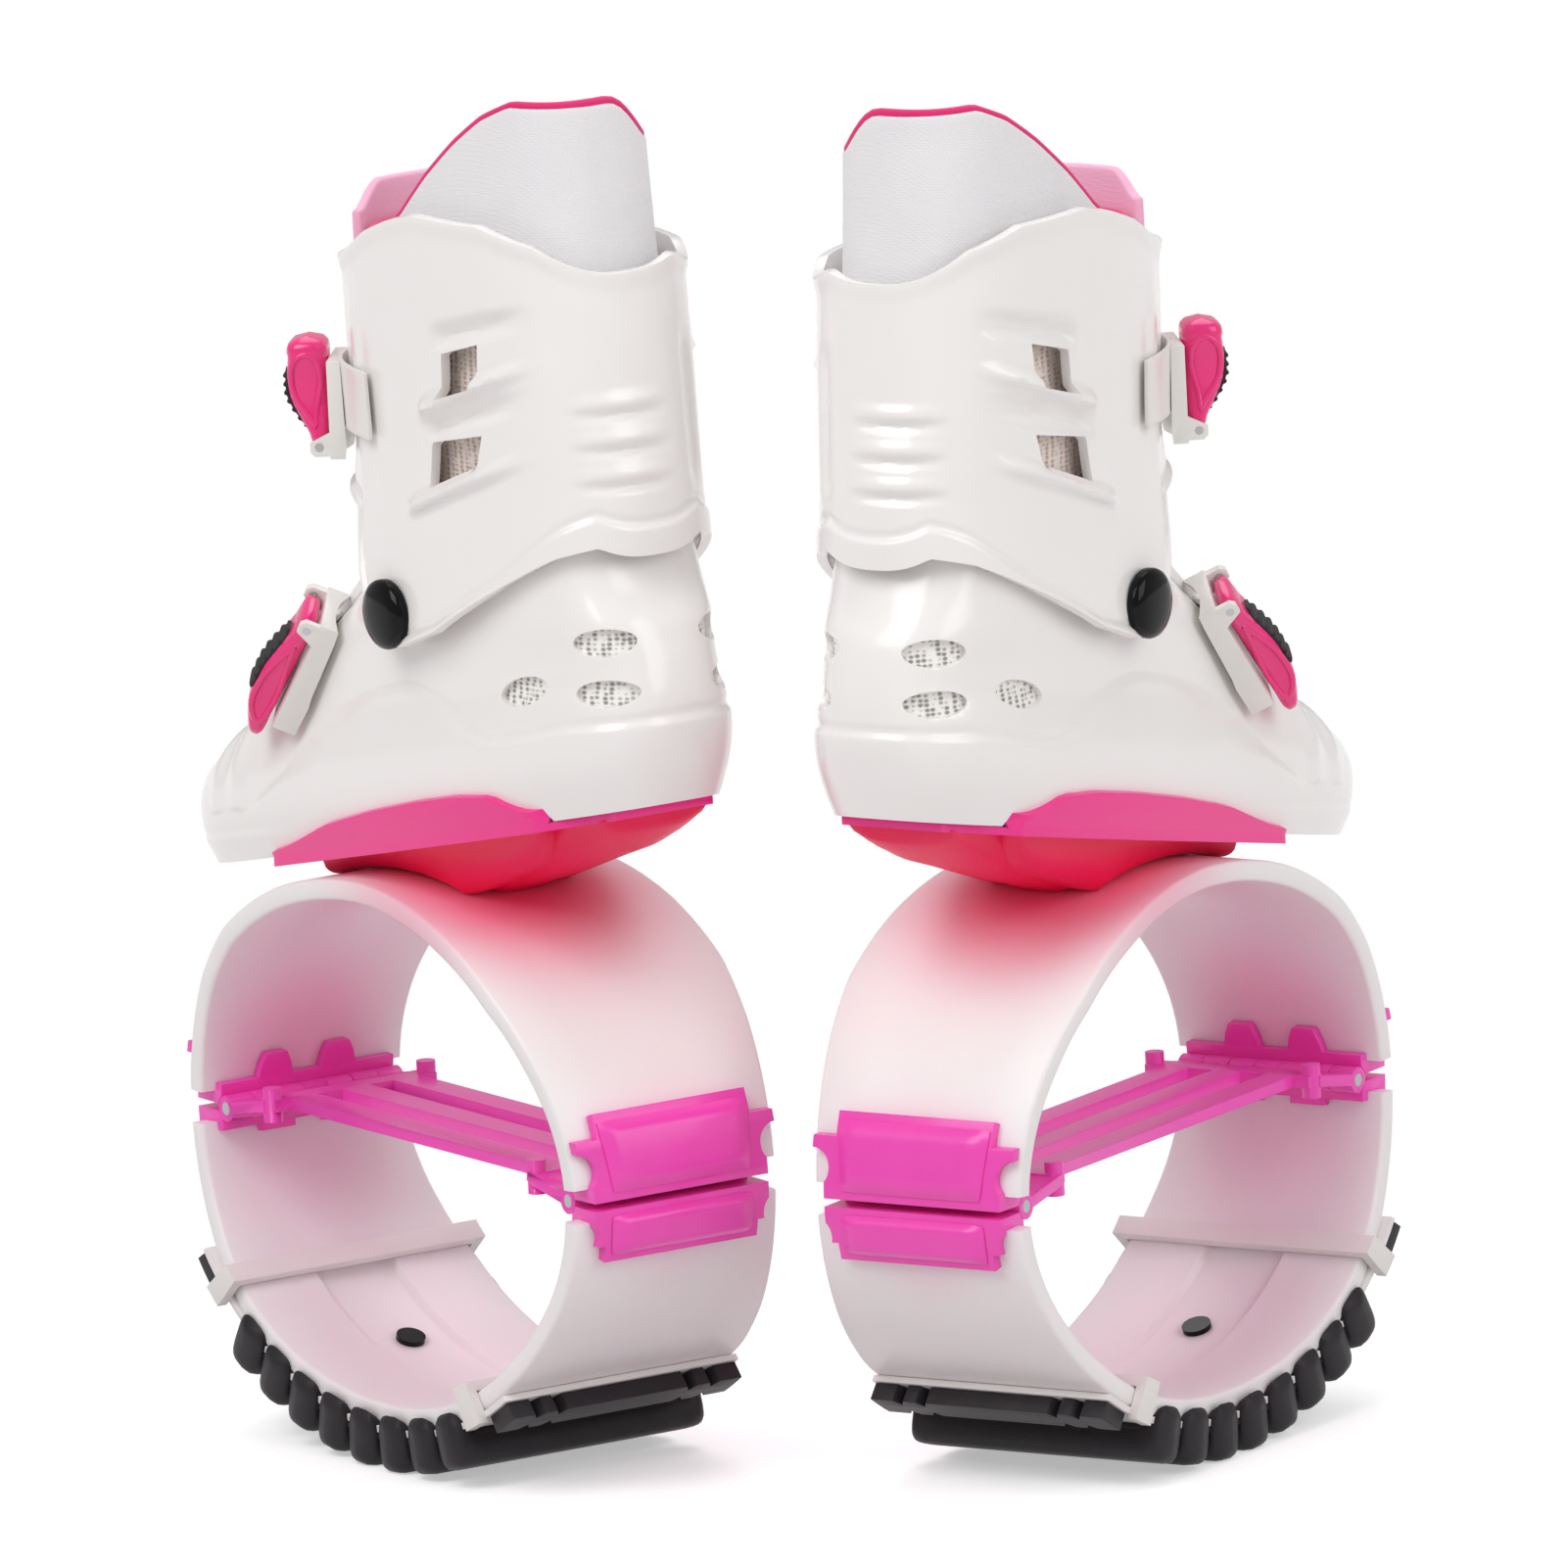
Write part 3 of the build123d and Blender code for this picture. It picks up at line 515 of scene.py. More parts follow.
@dataclass(frozen=True)
class LugRubber(Finish):
    """Vulcanised black rubber: matte, with a fine pebbled skin and dusty patches."""

    def build(self) -> bpy.types.Material:
        """Make the material."""
        material, tree, body = self.start(Roughness=0.5, IOR=1.4)
        pebbles = add_node(tree, "ShaderNodeTexVoronoi", {"Vector": self.place(tree, (0.9,) * 3), "Scale": 1.0})
        dust = add_node(tree, "ShaderNodeTexNoise", {
            "Vector": self.place(tree, (9.0,) * 3), "Scale": 1.0, "Detail": 4.0})
        self.bump(tree, body, pebbles.outputs["Distance"], 0.12, 0.5)
        self.vary(tree, body, dust.outputs[0], "#332E34", 0.5)
        return material


@dataclass(frozen=True)
class LinerCloth(Finish):
    """Brushed polyester over foam: a tight weave with a soft sheen."""

    thread_mm: float = 1.1
    depth_mm: float = 0.12
    shade: str = "#E6E6EA"

    def build(self) -> bpy.types.Material:
        """Make the material. The weave is drawn coarser than the real 0.4 mm threads, to show."""
        material, tree, body = self.start(
            Roughness=0.85, IOR=1.45, Sheen_Weight=0.25, Sheen_Roughness=0.5)
        cells = self.place(tree, (self.thread_mm,) * 3)
        upright = add_node(tree, "ShaderNodeTexWave", {"Vector": cells, "Scale": 0.35, "Distortion": 0.6},
                           bands_direction="DIAGONAL")
        level = add_node(tree, "ShaderNodeTexWave", {"Vector": cells, "Scale": 0.35, "Distortion": 0.6},
                         bands_direction="Z")
        weave = add_node(tree, "ShaderNodeMath", {0: upright.outputs[0], 1: level.outputs[0]}, operation="MULTIPLY")
        self.bump(tree, body, weave.outputs[0], self.depth_mm, 0.6)
        cloud = add_node(tree, "ShaderNodeTexNoise", {
            "Vector": self.place(tree, (30.0,) * 3), "Scale": 1.0, "Detail": 3.0})
        self.vary(tree, body, cloud.outputs[0], self.shade, 0.7)
        return material


@dataclass(frozen=True)
class SpacerMesh(Finish):
    """Knitted spacer mesh: rows of small open cells."""

    thread: str = "#F2ECE8"
    cell_mm: float = 2.6

    def build(self) -> bpy.types.Material:
        """Make the material, with dark cells between pale threads."""
        material, tree, body = self.start(Roughness=0.9, IOR=1.45, Sheen_Weight=0.2, Sheen_Roughness=0.5)
        coords = self.place(tree, (self.cell_mm, self.cell_mm, self.cell_mm * 0.7))
        cells = add_node(tree, "ShaderNodeTexVoronoi", {"Vector": coords, "Scale": 1.0, "Randomness": 0.25})
        rim = add_node(tree, "ShaderNodeMapRange", {0: cells.outputs["Distance"], 1: 0.22, 2: 0.5})
        mix = add_node(tree, "ShaderNodeMix", {
            0: rim.outputs[0], 6: linear(self.colour), 7: linear(self.thread)}, data_type="RGBA")
        tree.links.new(mix.outputs[2], body.inputs["Base Color"])
        self.bump(tree, body, rim.outputs[0], 0.6, 0.8)
        return material


@dataclass(frozen=True)
class BrushedSteel(Finish):
    """Turned and plated steel, with fine rings of brushing."""

    def build(self) -> bpy.types.Material:
        """Make the material."""
        material, tree, body = self.start(Metallic=1.0, Roughness=0.3)
        streak = add_node(tree, "ShaderNodeTexNoise", {"Vector": self.place(tree, (0.4, 6.0, 0.4)), "Scale": 1.0})
        rough = add_node(tree, "ShaderNodeMapRange", {0: streak.outputs[0], 3: 0.22, 4: 0.42})
        tree.links.new(rough.outputs[0], body.inputs["Roughness"])
        self.bump(tree, body, streak.outputs[0], 0.02, 0.4)
        return material


def pink_light_spot(side: Side, place: Point, reach: float, amount: float) -> tuple[Point, float, float]:
    """A spot of painted pink light on an arch, given in a shoe's own millimetres."""
    return tuple(STANCE.matrix(side) @ Vector(place)), reach, amount


@dataclass
class Palette:
    """Every finish of the pair, made once."""

    shell: bpy.types.Material = field(init=False)
    pink: bpy.types.Material = field(init=False)
    shaded_plate_pink: bpy.types.Material = field(init=False)
    flange_pink: bpy.types.Material = field(init=False)
    orchid: bpy.types.Material = field(init=False)
    base_white: bpy.types.Material = field(init=False)
    rubber: bpy.types.Material = field(init=False)
    liner: bpy.types.Material = field(init=False)
    piping: bpy.types.Material = field(init=False)
    tongue: bpy.types.Material = field(init=False)
    tan_mesh: bpy.types.Material = field(init=False)
    grey_mesh: bpy.types.Material = field(init=False)
    strap: bpy.types.Material = field(init=False)
    insert: bpy.types.Material = field(init=False)
    rivet: bpy.types.Material = field(init=False)
    steel: bpy.types.Material = field(init=False)
    top_arch: dict[Side, bpy.types.Material] = field(default_factory=dict)
    bottom_arch: dict[Side, bpy.types.Material] = field(default_factory=dict)

    def __post_init__(self) -> None:
        """Build each material."""
        self.shell = MouldedPlastic(
            "shell_gloss_pu", "#FCF9F8", roughness=0.24, coat=0.5, depth_mm=0.05, drift="#F8F5F2").build()
        self.pink = MouldedPlastic(
            "buckle_pink_nylon", "#FA2A86", roughness=0.24, coat=0.4, drift="#F0207A").build()
        # The lobes under the sole plate: a darker, redder copy of the plate's pink, painted shade for its underside.
        self.shaded_plate_pink = MouldedPlastic(
            "sole_plate_nylon", "#FA0052", roughness=0.45, coat=0.05, drift="#F40054").build()
        self.flange_pink = MouldedPlastic(
            "sole_flange_nylon", "#FF2A96", roughness=0.3, coat=0.2, drift="#FF2290").build()
        self.orchid = MouldedPlastic(
            "hinge_orchid_nylon", "#FC4CC2", roughness=0.33, coat=0.25, drift="#F63CB2").build()
        self.base_white = MouldedPlastic(
            "carrier_white_pu", "#F3F0EE", roughness=0.45, coat=0.05, drift="#E8E2E0").build()
        self.rubber = LugRubber("lug_black_rubber", "#171418").build()
        self.liner = LinerCloth("liner_brushed_polyester", "#F6F4F5").build()
        self.piping = LinerCloth("piping_pink_cord", "#F0307E", thread_mm=0.9, shade="#D81E6A").build()
        self.tongue = LinerCloth("tongue_pink_lining", "#FFC2DE", shade="#F9A8CE").build()
        self.tan_mesh = SpacerMesh("spacer_mesh_tan", "#E6BCAA", thread="#FFF6F0").build()
        self.grey_mesh = SpacerMesh("spacer_mesh_grey", "#9C9896", thread="#FCFAF6").build()
        self.strap = MouldedPlastic("strap_white_pu", "#F4F1EC", roughness=0.3, coat=0.25).build()
        self.insert = LugRubber("grip_black_rubber", "#1D1B1E").build()
        self.rivet = MouldedPlastic(
            "rivet_black_acetal", "#040405", roughness=0.09, coat=0.0, depth_mm=0.01, drift="#08080A", ior=1.3).build()
        self.steel = BrushedSteel("pin_plated_steel", "#B9B9BC").build()
        # The arches' spots of painted pink light: by the crown under the plate, by the hinge clips and along the bottom
        # leaf's channel.
        for side in Side:
            crown = pink_light_spot(side, (-34, 6, ARCH.crown_z - 2), 92, 0.95)
            front = pink_light_spot(side, (52, 0, ARCH.crown_z - 12), 50, 0.30)
            rear_hinge = pink_light_spot(side, (-132, 0, 140), 40, 0.12)
            front_hinge = pink_light_spot(side, (128, 0, 138), 60, 0.26)
            self.top_arch[side] = ArchPolymerPaintedPinkLight(
                f"arch_milky_pu_top_{side.value}", "#FCF6F6", pink_light_spots=(crown, front, rear_hinge, front_hinge)).build()
            low_rear = pink_light_spot(side, (-128, 0, 100), 34, 0.15)
            low_front = pink_light_spot(side, (128, 0, 96), 60, 0.16)
            channel = pink_light_spot(side, (30, 0, 30), 95, 0.13)
            self.bottom_arch[side] = ArchPolymerPaintedPinkLight(
                f"arch_milky_pu_bottom_{side.value}", "#FBF4F5", glow="#F58CB6",
                pink_light_spots=(low_rear, low_front, channel)).build()


# --------------------------------------------------------------------------------------
# Foot and leg forms
# --------------------------------------------------------------------------------------


@dataclass(frozen=True)
class FormSizes:
    """Sizes of the boot and the leg, as the solids have them."""

    boot_front: float = 149.0
    boot_rear: float = 156.0
    boot_half_width: float = 50.0
    sole_z: float = 238.0
    slope_deg: float = 12.0
    rise: float = 170.0
    squareness: float = 2.6
    heel_squareness: float = 3.2
    leg_half_width: float = 49.0
    leg_front: float = 28.0
    leg_rear: float = 143.0
    leg_low: float = 290.0
    leg_height: float = 255.0
    leg_mid_share: float = -0.37
    rivet_x: float = -35.0
    rivet_z: float = 333.0
    rivet_seat: float = 53.4

    def sole(self, x: float) -> float:
        """Height of the shell's sole at x."""
        return self.sole_z - math.tan(math.radians(self.slope_deg)) * x

    def leg_line(self, shares: Sequence[tuple[float, float]]) -> list[tuple[float, float]]:
        """Side-view points from shares of the leg's sizes."""
        return [(a * self.leg_rear, self.leg_low + b * self.leg_height) for a, b in shares]


FORM = FormSizes()

# rise, slope, mid, front, rear and half width, in shares of the boot's sizes
BOOT_RINGS = np.array([
    (0.000, 1.00, 0.35, 0.953, 0.955, 0.90),
    (0.095, 1.00, 0.35, 1.000, 0.985, 1.00),
    (0.200, 0.96, 0.30, 0.973, 1.000, 0.985),
    (0.318, 0.90, 0.12, 0.730, 0.985, 0.89),
    (0.453, 0.75, -0.12, 0.430, 0.950, 0.86),
    (0.600, 0.50, -0.28, 0.150, 0.885, 0.845),
    (0.765, 0.33, -0.35, 0.108, 0.830, 0.84),
    (1.000, 0.10, -0.36, 0.094, 0.820, 0.84),
])

# height, front, rear and half width, in shares of the leg's sizes
LEG_RINGS = np.array([
    (0.000, 2.60, 0.960, 1.12),
    (0.150, 2.10, 0.985, 1.08),
    (0.270, 1.30, 1.000, 1.02),
    (0.392, 0.96, 1.000, 0.98),
    (0.570, 1.05, 0.970, 1.00),
    (0.765, 1.00, 0.930, 1.03),
    (1.000, 0.90, 0.900, 1.01),
])

BOOT_SPAN = (0.0, float(len(BOOT_RINGS) - 1))
LEG_SPAN = (0.0, float(len(LEG_RINGS) - 1))


def blend_rows(table: np.ndarray, place: float) -> np.ndarray:
    """Values between the rows of a table, on a smooth line through them.

    Args:
        table: one row for each ring.
        place: a place counted in rows.

    Returns:
        The row at that place.
    """
    last = len(table) - 1
    i = int(min(max(math.floor(place), 0), last - 1))
    t = min(max(place - i, 0.0), 1.0)
    before, after = table[max(i - 1, 0)], table[min(i + 2, last)]
    a, b = table[i], table[i + 1]
    ma, mb = (b - before) / 2, (after - a) / 2
    t2, t3 = t * t, t * t * t
    return (2 * t3 - 3 * t2 + 1) * a + (t3 - 2 * t2 + t) * ma + (3 * t2 - 2 * t3) * b + (t3 - t2) * mb


def oval(turn: float, mid: float, front: float, rear: float, half: float,
         rear_squareness: float = FORM.squareness) -> tuple[float, float]:
    """A point of a rounded outline round the foot or leg."""
    power = 2 / (FORM.squareness if math.cos(turn) > 0 else rear_squareness)
    along, across = math.cos(turn), math.sin(turn)
    reach = front - mid if along > 0 else mid - rear
    return mid + signed_power(along, power) * reach, signed_power(across, power) * half


def boot_point(place: float, turn: float, offset: float = 0.0) -> Vector:
    """A point of the foot form, by ring and direction."""
    rise, slope, mid, front, rear, half = blend_rows(BOOT_RINGS, place)
    x, y = oval(turn, mid * FORM.boot_front, front * FORM.boot_front + offset,
                -rear * FORM.boot_rear - offset, half * FORM.boot_half_width + offset, FORM.heel_squareness)
    z = FORM.sole_z + rise * FORM.rise - math.tan(math.radians(slope * FORM.slope_deg)) * x
    return Vector((x, y, z - (offset if place <= 0 else 0)))


def leg_point(place: float, turn: float, offset: float = 0.0, rear_offset: Optional[float] = None) -> Vector:
    """A point of the leg form, by ring and direction."""
    back = offset if rear_offset is None else rear_offset
    height, front, rear, half = blend_rows(LEG_RINGS, place)
    x, y = oval(turn, FORM.leg_mid_share * FORM.leg_rear, front * FORM.leg_front + offset,
                -rear * FORM.leg_rear - back, half * FORM.leg_half_width + offset)
    return Vector((x, y, FORM.leg_low + height * FORM.leg_height))


def even_turns(count: int) -> list[float]:
    """Directions round an oval, spread so that its corners get as many points as its sides."""
    fine = np.linspace(0, 2 * math.pi, 1441)
    line = np.array([oval(t, 0.0, 100.0, -100.0, 45.0) for t in fine])
    steps = np.concatenate([[0.0], np.cumsum(np.hypot(*(line[1:] - line[:-1]).T))])
    return list(np.interp(np.arange(count) / count * steps[-1], steps, fine))


Former = Callable[[float, float], Vector]


def reach_line(former: Former, turn: float, edge: Callable[[float], float], low: float, high: float) -> float:
    """The ring place at which a column of a form meets an edge drawn in the side view.

    Args:
        former: the form's point by place and direction.
        turn: the column's direction.
        edge: the edge's height at each x.
        low: lowest place.
        high: highest place.

    Returns:
        The place of the crossing, or the nearer end.
    """
    for _ in range(26):
        middle = (low + high) / 2
        point = former(middle, turn)
        if point.z < edge(point.x):
            low = middle
        else:
            high = middle
    return (low + high) / 2


def form_sheet(name: str, former: Former, turns: Sequence[float], rows: int, low_edge: Callable[[float], float],
               high_edge: Callable[[float], float], span: tuple[float, float],
               relief: Optional[Callable[[Vector], float]] = None, closed: bool = True) -> bpy.types.Object:
    """A sheet of a form between two edges, with relief along its normal.

    Args:
        name: the object's name.
        former: the form's point by place and direction.
        turns: directions of the columns.
        rows: number of rows.
        low_edge: lower edge's height by x.
        high_edge: upper edge's height by x.
        span: lowest and highest ring place.
        relief: height of the relief at a point.
        closed: whether the columns go all the way round.

    Returns:
        The sheet.
    """
    points = np.zeros((rows, len(turns), 3))
    for u, turn in enumerate(turns):
        low = reach_line(former, turn, low_edge, *span)
        high = reach_line(former, turn, high_edge, *span)
        for v in range(rows):
            place = low + (high - low) * v / (rows - 1)
            point = former(place, turn)
            if relief is not None:
                side = former(place, turn + 0.01) - former(place, turn - 0.01)
                rise = former(min(place + 0.02, span[1]), turn) - former(max(place - 0.02, span[0]), turn)
                normal = side.cross(rise).normalized()
                point = point + normal * relief(point)
            points[v, u] = point
    return grid(name, points, close_u=closed)


# --------------------------------------------------------------------------------------
# Placing pieces on the pair
# --------------------------------------------------------------------------------------


@dataclass
class Fitter:
    """Puts a finished piece of one shoe in the pair's frame."""

    side: Side

    def node(self, name: str) -> str:
        """A node's full name."""
        return f"{self.side.value}_{name}"

    def body(self, name: str) -> str:
        """A body's full name."""
        return "ground" if name == "ground" else f"{self.side.value}_{name}_body"

    def settle(self, obj: bpy.types.Object, slot: str, body: Optional[str] = None,
               replaces: Sequence[str] = ()) -> bpy.types.Object:
        """Move a piece's mesh into the pair's frame, and attach it.

        Args:
            obj: the piece, in the shoe's millimetres.
            slot: the record's material slot; not used.
            body: the body it rides on, or None.
            replaces: the nodes it stands for.

        Returns:
            The piece.
        """
        obj.data.transform(STANCE.matrix(self.side))
        if self.side is Side.RIGHT:
            obj.data.flip_normals()
        obj.name = self.node(obj.name)
        obj.data.name = obj.name
        if replaces:
            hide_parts(*[self.node(n) for n in replaces])
        if body is not None:
            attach(obj, self.body(body))
        log.info("made %s with %d faces", obj.name, len(obj.data.polygons))
        return obj

    def copy_solid(self, name: str, node: str, width: float, segments: int = 2) -> bpy.types.Object:
        """A copy of a node's solid in millimetres, with its sharp edges rounded.

        Args:
            name: the new piece's name.
            node: the node that is copied.
            width: the rounding in millimetres.
            segments: the rounding's steps.

        Returns:
            The copy, in the shoe's own millimetres.
        """
        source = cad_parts[self.node(node)]
        mesh = source.data.copy()
        obj = bpy.data.objects.new(name, mesh)
        bpy.context.scene.collection.objects.link(obj)
        mesh.materials.clear()
        mesh.transform(STANCE.matrix(self.side).inverted())
        work = bmesh.new()
        work.from_mesh(mesh)
        bmesh.ops.remove_doubles(work, verts=work.verts, dist=0.004)
        bmesh.ops.dissolve_limit(work, angle_limit=math.radians(0.6), verts=work.verts, edges=work.edges)
        bmesh.ops.recalc_face_normals(work, faces=work.faces)
        work.to_mesh(mesh)
        work.free()
        if width > 0:
            soften(obj, width, segments)
        smooth(obj, 34)
        return obj


# --------------------------------------------------------------------------------------
# The oval under the boot
# --------------------------------------------------------------------------------------


@dataclass
class SpringOval:
    """The two leaves, their hinges and the tension spring."""

    fit: Fitter
    paint: Palette
    channel_half: float = 17.0
    channel_depth: float = 2.6
    press_travel: float = 32.0
    edge_round: float = 1.5
    panel_seat: float = 3.9
    panel_lift: float = 2.4

    def leaf(self, name: str, upper: bool) -> bpy.types.Object:
        """One leaf, swept along its half ellipse with rounded long edges."""
        rows, half, wall = 97, ARCH.half_width, ARCH.thickness
        corner = self.edge_round
        outer = [(-half, -corner), (-half + corner * 0.3, -corner * 0.3), (-half + corner, 0.0)]
        outer += [(y, 0.0) for y in (-30.0, -15.0, 0.0, 15.0, 30.0)]
        outer += [(half - corner, 0.0), (half - corner * 0.3, -corner * 0.3), (half, -corner)]
        inner = [(half, -wall + corner), (half - corner * 0.3, -wall + corner * 0.3), (half - corner, -wall)]
        run = (28.0, self.channel_half + 0.8, self.channel_half - 0.8, 8.0, 0.0)
        inner += [(y, -wall) for y in run] + [(-y, -wall) for y in reversed(run[:-1])]
        inner += [(-half + corner, -wall), (-half + corner * 0.3, -wall + corner * 0.3), (-half, -wall + corner)]
        ring = outer + inner
        points = np.zeros((rows, len(ring), 3))
        for v in range(rows):
            angle = -ARCH.end_deg + 2 * ARCH.end_deg * v / (rows - 1)
            sunk = 0.0 if upper else ease(angle, -31.5, -29.5) * (1 - ease(angle, 48.0, 50.0))
            narrow = half - ARCH.half_at(ARCH.point(0.0, angle, upper)[0])
            for u, (y, depth) in enumerate(ring):
                if u >= len(outer) and abs(y) < self.channel_half:
                    depth = depth + self.channel_depth * sunk
                x, z = ARCH.point(depth, angle, upper)
                points[v, u] = (x, y - math.copysign(narrow * ease(abs(y), 20.0, 40.0), y), z)
        obj = grid(name, points, close_u=True, cap_first=True, cap_last=True)
        outward(obj)
        smooth(obj, 50)
        return obj

    def wing_panel(self, front: bool, upper: bool) -> bpy.types.Object:
        """The raised panel on a hinge wing, crowned between rounded edges."""
        low, high = (5.0, 29.5) if upper else (4.5, 18.0)
        half = 30.0 if upper else 31.0
        count_u, count_v = 33, 17
        points = np.zeros((count_v, count_u, 3))
        rise = ARCH.rise if upper else ARCH.drop
        for v in range(count_v):
            height = low + (high - low) * v / (count_v - 1)
            angle = math.degrees(math.acos(height / rise)) * (1 if front else -1)
            for u in range(count_u):
                share = -1 + 2 * u / (count_u - 1)
                edge_v = min(v, count_v - 1 - v) / 3.0
                edge_u = min(u, count_u - 1 - u) / 3.0
                lift = self.panel_lift * ease(edge_v, 0, 1) ** 0.6 * ease(edge_u, 0, 1) ** 0.6
                bow = 3.0 * (v / (count_v - 1)) if upper else 0.0
                x, z = ARCH.point(self.panel_seat + lift, angle, upper)
                points[v, u] = (x, share * (half + bow), z)
        obj = grid("panel", points)
        thicken(obj, 1.0, 1.0 if front == upper else -1.0)
        outward(obj)
        smooth(obj, 60)
        return obj

    def trim(self, clip: bpy.types.Object, front: bool, upper: bool) -> bpy.types.Object:
        """Step a clip's outer corners, taper its ears and round it all.

        Args:
            clip: the clip, as its solid has it.
            front: whether it is a front one.
            upper: whether it is an upper one.

        Returns:
            The clip.
        """
        sign, way = (1 if front else -1), (1 if upper else -1)
        inside = ARCH.half_length - ARCH.thickness - 0.4
        for vert in clip.data.vertices:
            x, y, z = vert.co
            climb = (z - ARCH.hinge_z) * way
            if sign * x < inside and climb > 10.2:
                middle = math.copysign(14.0, y)
                vert.co.y = middle + (y - middle) * (1 - 0.45 * ease(climb, 10.0, 20.0))
        step = ARCH.hinge_z + way * (25.0 if upper else 15.5)
        cutters = []
        for flank in (-1, 1):
            low, high = sorted((step, step + way * 30.0))
            xa, xb = sorted((sign * 100.0, sign * 160.0))
            cutters.append(prism("step", [(xa, low), (xb, low), (xb, high), (xa, high)],
                                 *sorted((flank * 34.0, flank * 60.0))))
        cut(clip, cutters)
        soften(clip, 1.3, 3)
        smooth(clip, 40)
        return clip

    def build(self) -> None:
        """Make and attach every piece of the oval."""
        side = self.fit.side
        anchor = tuple(STANCE.matrix(side) @ Vector((0, 0, ARCH.floor_z)))
        for name, upper, paint in (
                ("top_leaf", True, self.paint.top_arch), ("bottom_leaf", False, self.paint.bottom_arch)):
            leaf = self.leaf(name, upper)
            leaf.data.materials.append(paint[side])
            self.fit.settle(leaf, "arch", "ground", ["top_arch" if upper else "bottom_arch"])
            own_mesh(leaf)
        for end in ("front", "rear"):
            for level in ("upper", "lower"):
                where = (end == "front", level == "upper")
                clip = self.trim(self.fit.copy_solid("clip", f"{end}_hinge_{level}", 0), *where)
                panel = self.wing_panel(*where)
                for part in (clip, panel):
                    part.data.materials.append(self.paint.orchid)
                piece = join(f"{end}_{level}_clip", [clip, panel])
                self.fit.settle(piece, "pink", "mid", [f"{end}_hinge_{level}"])
        spring = self.fit.copy_solid("three_bar_spring", "tension_spring", 0.7)
        spring.data.materials.append(self.paint.orchid)
        self.fit.settle(spring, "pink", "mid", ["tension_spring"])


# --------------------------------------------------------------------------------------
# Tread
# --------------------------------------------------------------------------------------


@dataclass
class Tread:
    """Rubber lugs and bars on a white carrier."""

    fit: Fitter
    paint: Palette
    seat: float = 0.25
    carrier: float = 2.6
    rubber: float = 2.4
    lug_height: float = 13.8
    count: int = 8
    rear_count: int = 3
    pitch_deg: float = 8.6
    half_width: float = 56.5
    bar_half_width: float = 51.0
    bar_height: float = 7.0
    bar_half_deg: float = 3.2
    front_bar_deg: float = 56.5
    rear_bar_deg: float = -37.2
    end_deg: float = 3.3
    notch_half: float = 2.6
    notch_deep_deg: float = 2.0

    def lug_shape(self) -> bpy.types.Object:
        """One lug about its own centre: a rounded bar whose ends swell and turn up."""
        sections, sides = 29, 20
        points = np.zeros((sections, sides, 3))
        for v in range(sections):
            y = self.half_width * math.sin(math.pi / 2 * (-1 + 2 * v / (sections - 1)))
            end = abs(y) / self.half_width
            close = math.sqrt(max(0.0, 1 - max(0.0, (end - 0.90) / 0.10) ** 2.2))
            swell = 1.0 + 0.10 * ease(end, 0.80, 0.90)
            lift = 9.0 * ease(end, 0.84, 0.93)
            half_x = 8.4 * swell * max(close, 0.04)
            low = -self.lug_height / 2 + (1 - close) * 5.0
            high = self.lug_height / 2 - 0.4 + lift - (1 - close) * 6.0
            for u in range(sides):
                turn = 2 * math.pi * (u + 0.5) / sides
                sx = signed_power(math.cos(turn), 0.55)
                sz = signed_power(math.sin(turn), 0.55)
                points[v, u] = (half_x * sx, y, (low + high) / 2 + (high - low) / 2 * sz)
        obj = grid("lug", points, close_u=True, cap_first=True, cap_last=True)
        outward(obj)
        smooth(obj, 60)
        obj.data.materials.append(self.paint.rubber)
        return obj

    def lug_row(self) -> bpy.types.Object:
        """All lugs, set along the arch by a node tree from points that carry their turn."""
        lug = self.lug_shape()
        places, turns = [], []
        for index in range(self.count):
            angle = (index - self.rear_count + 0.5) * self.pitch_deg
            x, z = ARCH.point(2 * self.seat + self.carrier + self.lug_height / 2, angle, False)
            places.append((x, 0.0, z))
            rad = math.radians(angle)
            turns.append(-math.atan2(ARCH.drop * math.sin(rad), ARCH.half_length * math.cos(rad)))
        row = new_object("lug_row", places, [])
        data = row.data.attributes.new("lug_turn", "FLOAT", "POINT")
        data.data.foreach_set("value", turns)
        tree = bpy.data.node_groups.new("lugs_along_arch", "GeometryNodeTree")
        tree.is_modifier = True
        tree.interface.new_socket("Geometry", in_out="INPUT", socket_type="NodeSocketGeometry")
        lug_input = tree.interface.new_socket("Lug", in_out="INPUT", socket_type="NodeSocketObject")
        rubber_input = tree.interface.new_socket("Rubber", in_out="INPUT", socket_type="NodeSocketMaterial")
        tree.interface.new_socket("Geometry", in_out="OUTPUT", socket_type="NodeSocketGeometry")
        given = add_node(tree, "NodeGroupInput")
        info = add_node(tree, "GeometryNodeObjectInfo", {"Object": given.outputs["Lug"]})
        turn = add_node(tree, "GeometryNodeInputNamedAttribute", {"Name": "lug_turn"}, data_type="FLOAT")
        spin = add_node(tree, "ShaderNodeCombineXYZ", {"Y": turn.outputs["Attribute"]})
        copies = add_node(tree, "GeometryNodeInstanceOnPoints", {
            "Points": given.outputs["Geometry"], "Instance": info.outputs["Geometry"], "Rotation": spin.outputs[0]})
        real = add_node(tree, "GeometryNodeRealizeInstances", {"Geometry": copies.outputs[0]})
        paint = add_node(tree, "GeometryNodeSetMaterial", {
            "Geometry": real.outputs[0], "Material": given.outputs["Rubber"]})
        add_node(tree, "NodeGroupOutput", {"Geometry": paint.outputs[0]})
        modifier = row.modifiers.new("lugs", "NODES")
        modifier.node_group = tree
        modifier[lug_input.identifier] = lug
        modifier[rubber_input.identifier] = self.paint.rubber
        bake(row)
        old = lug.data
        bpy.data.objects.remove(lug)
        bpy.data.meshes.remove(old)
        smooth(row, 60)
        return row

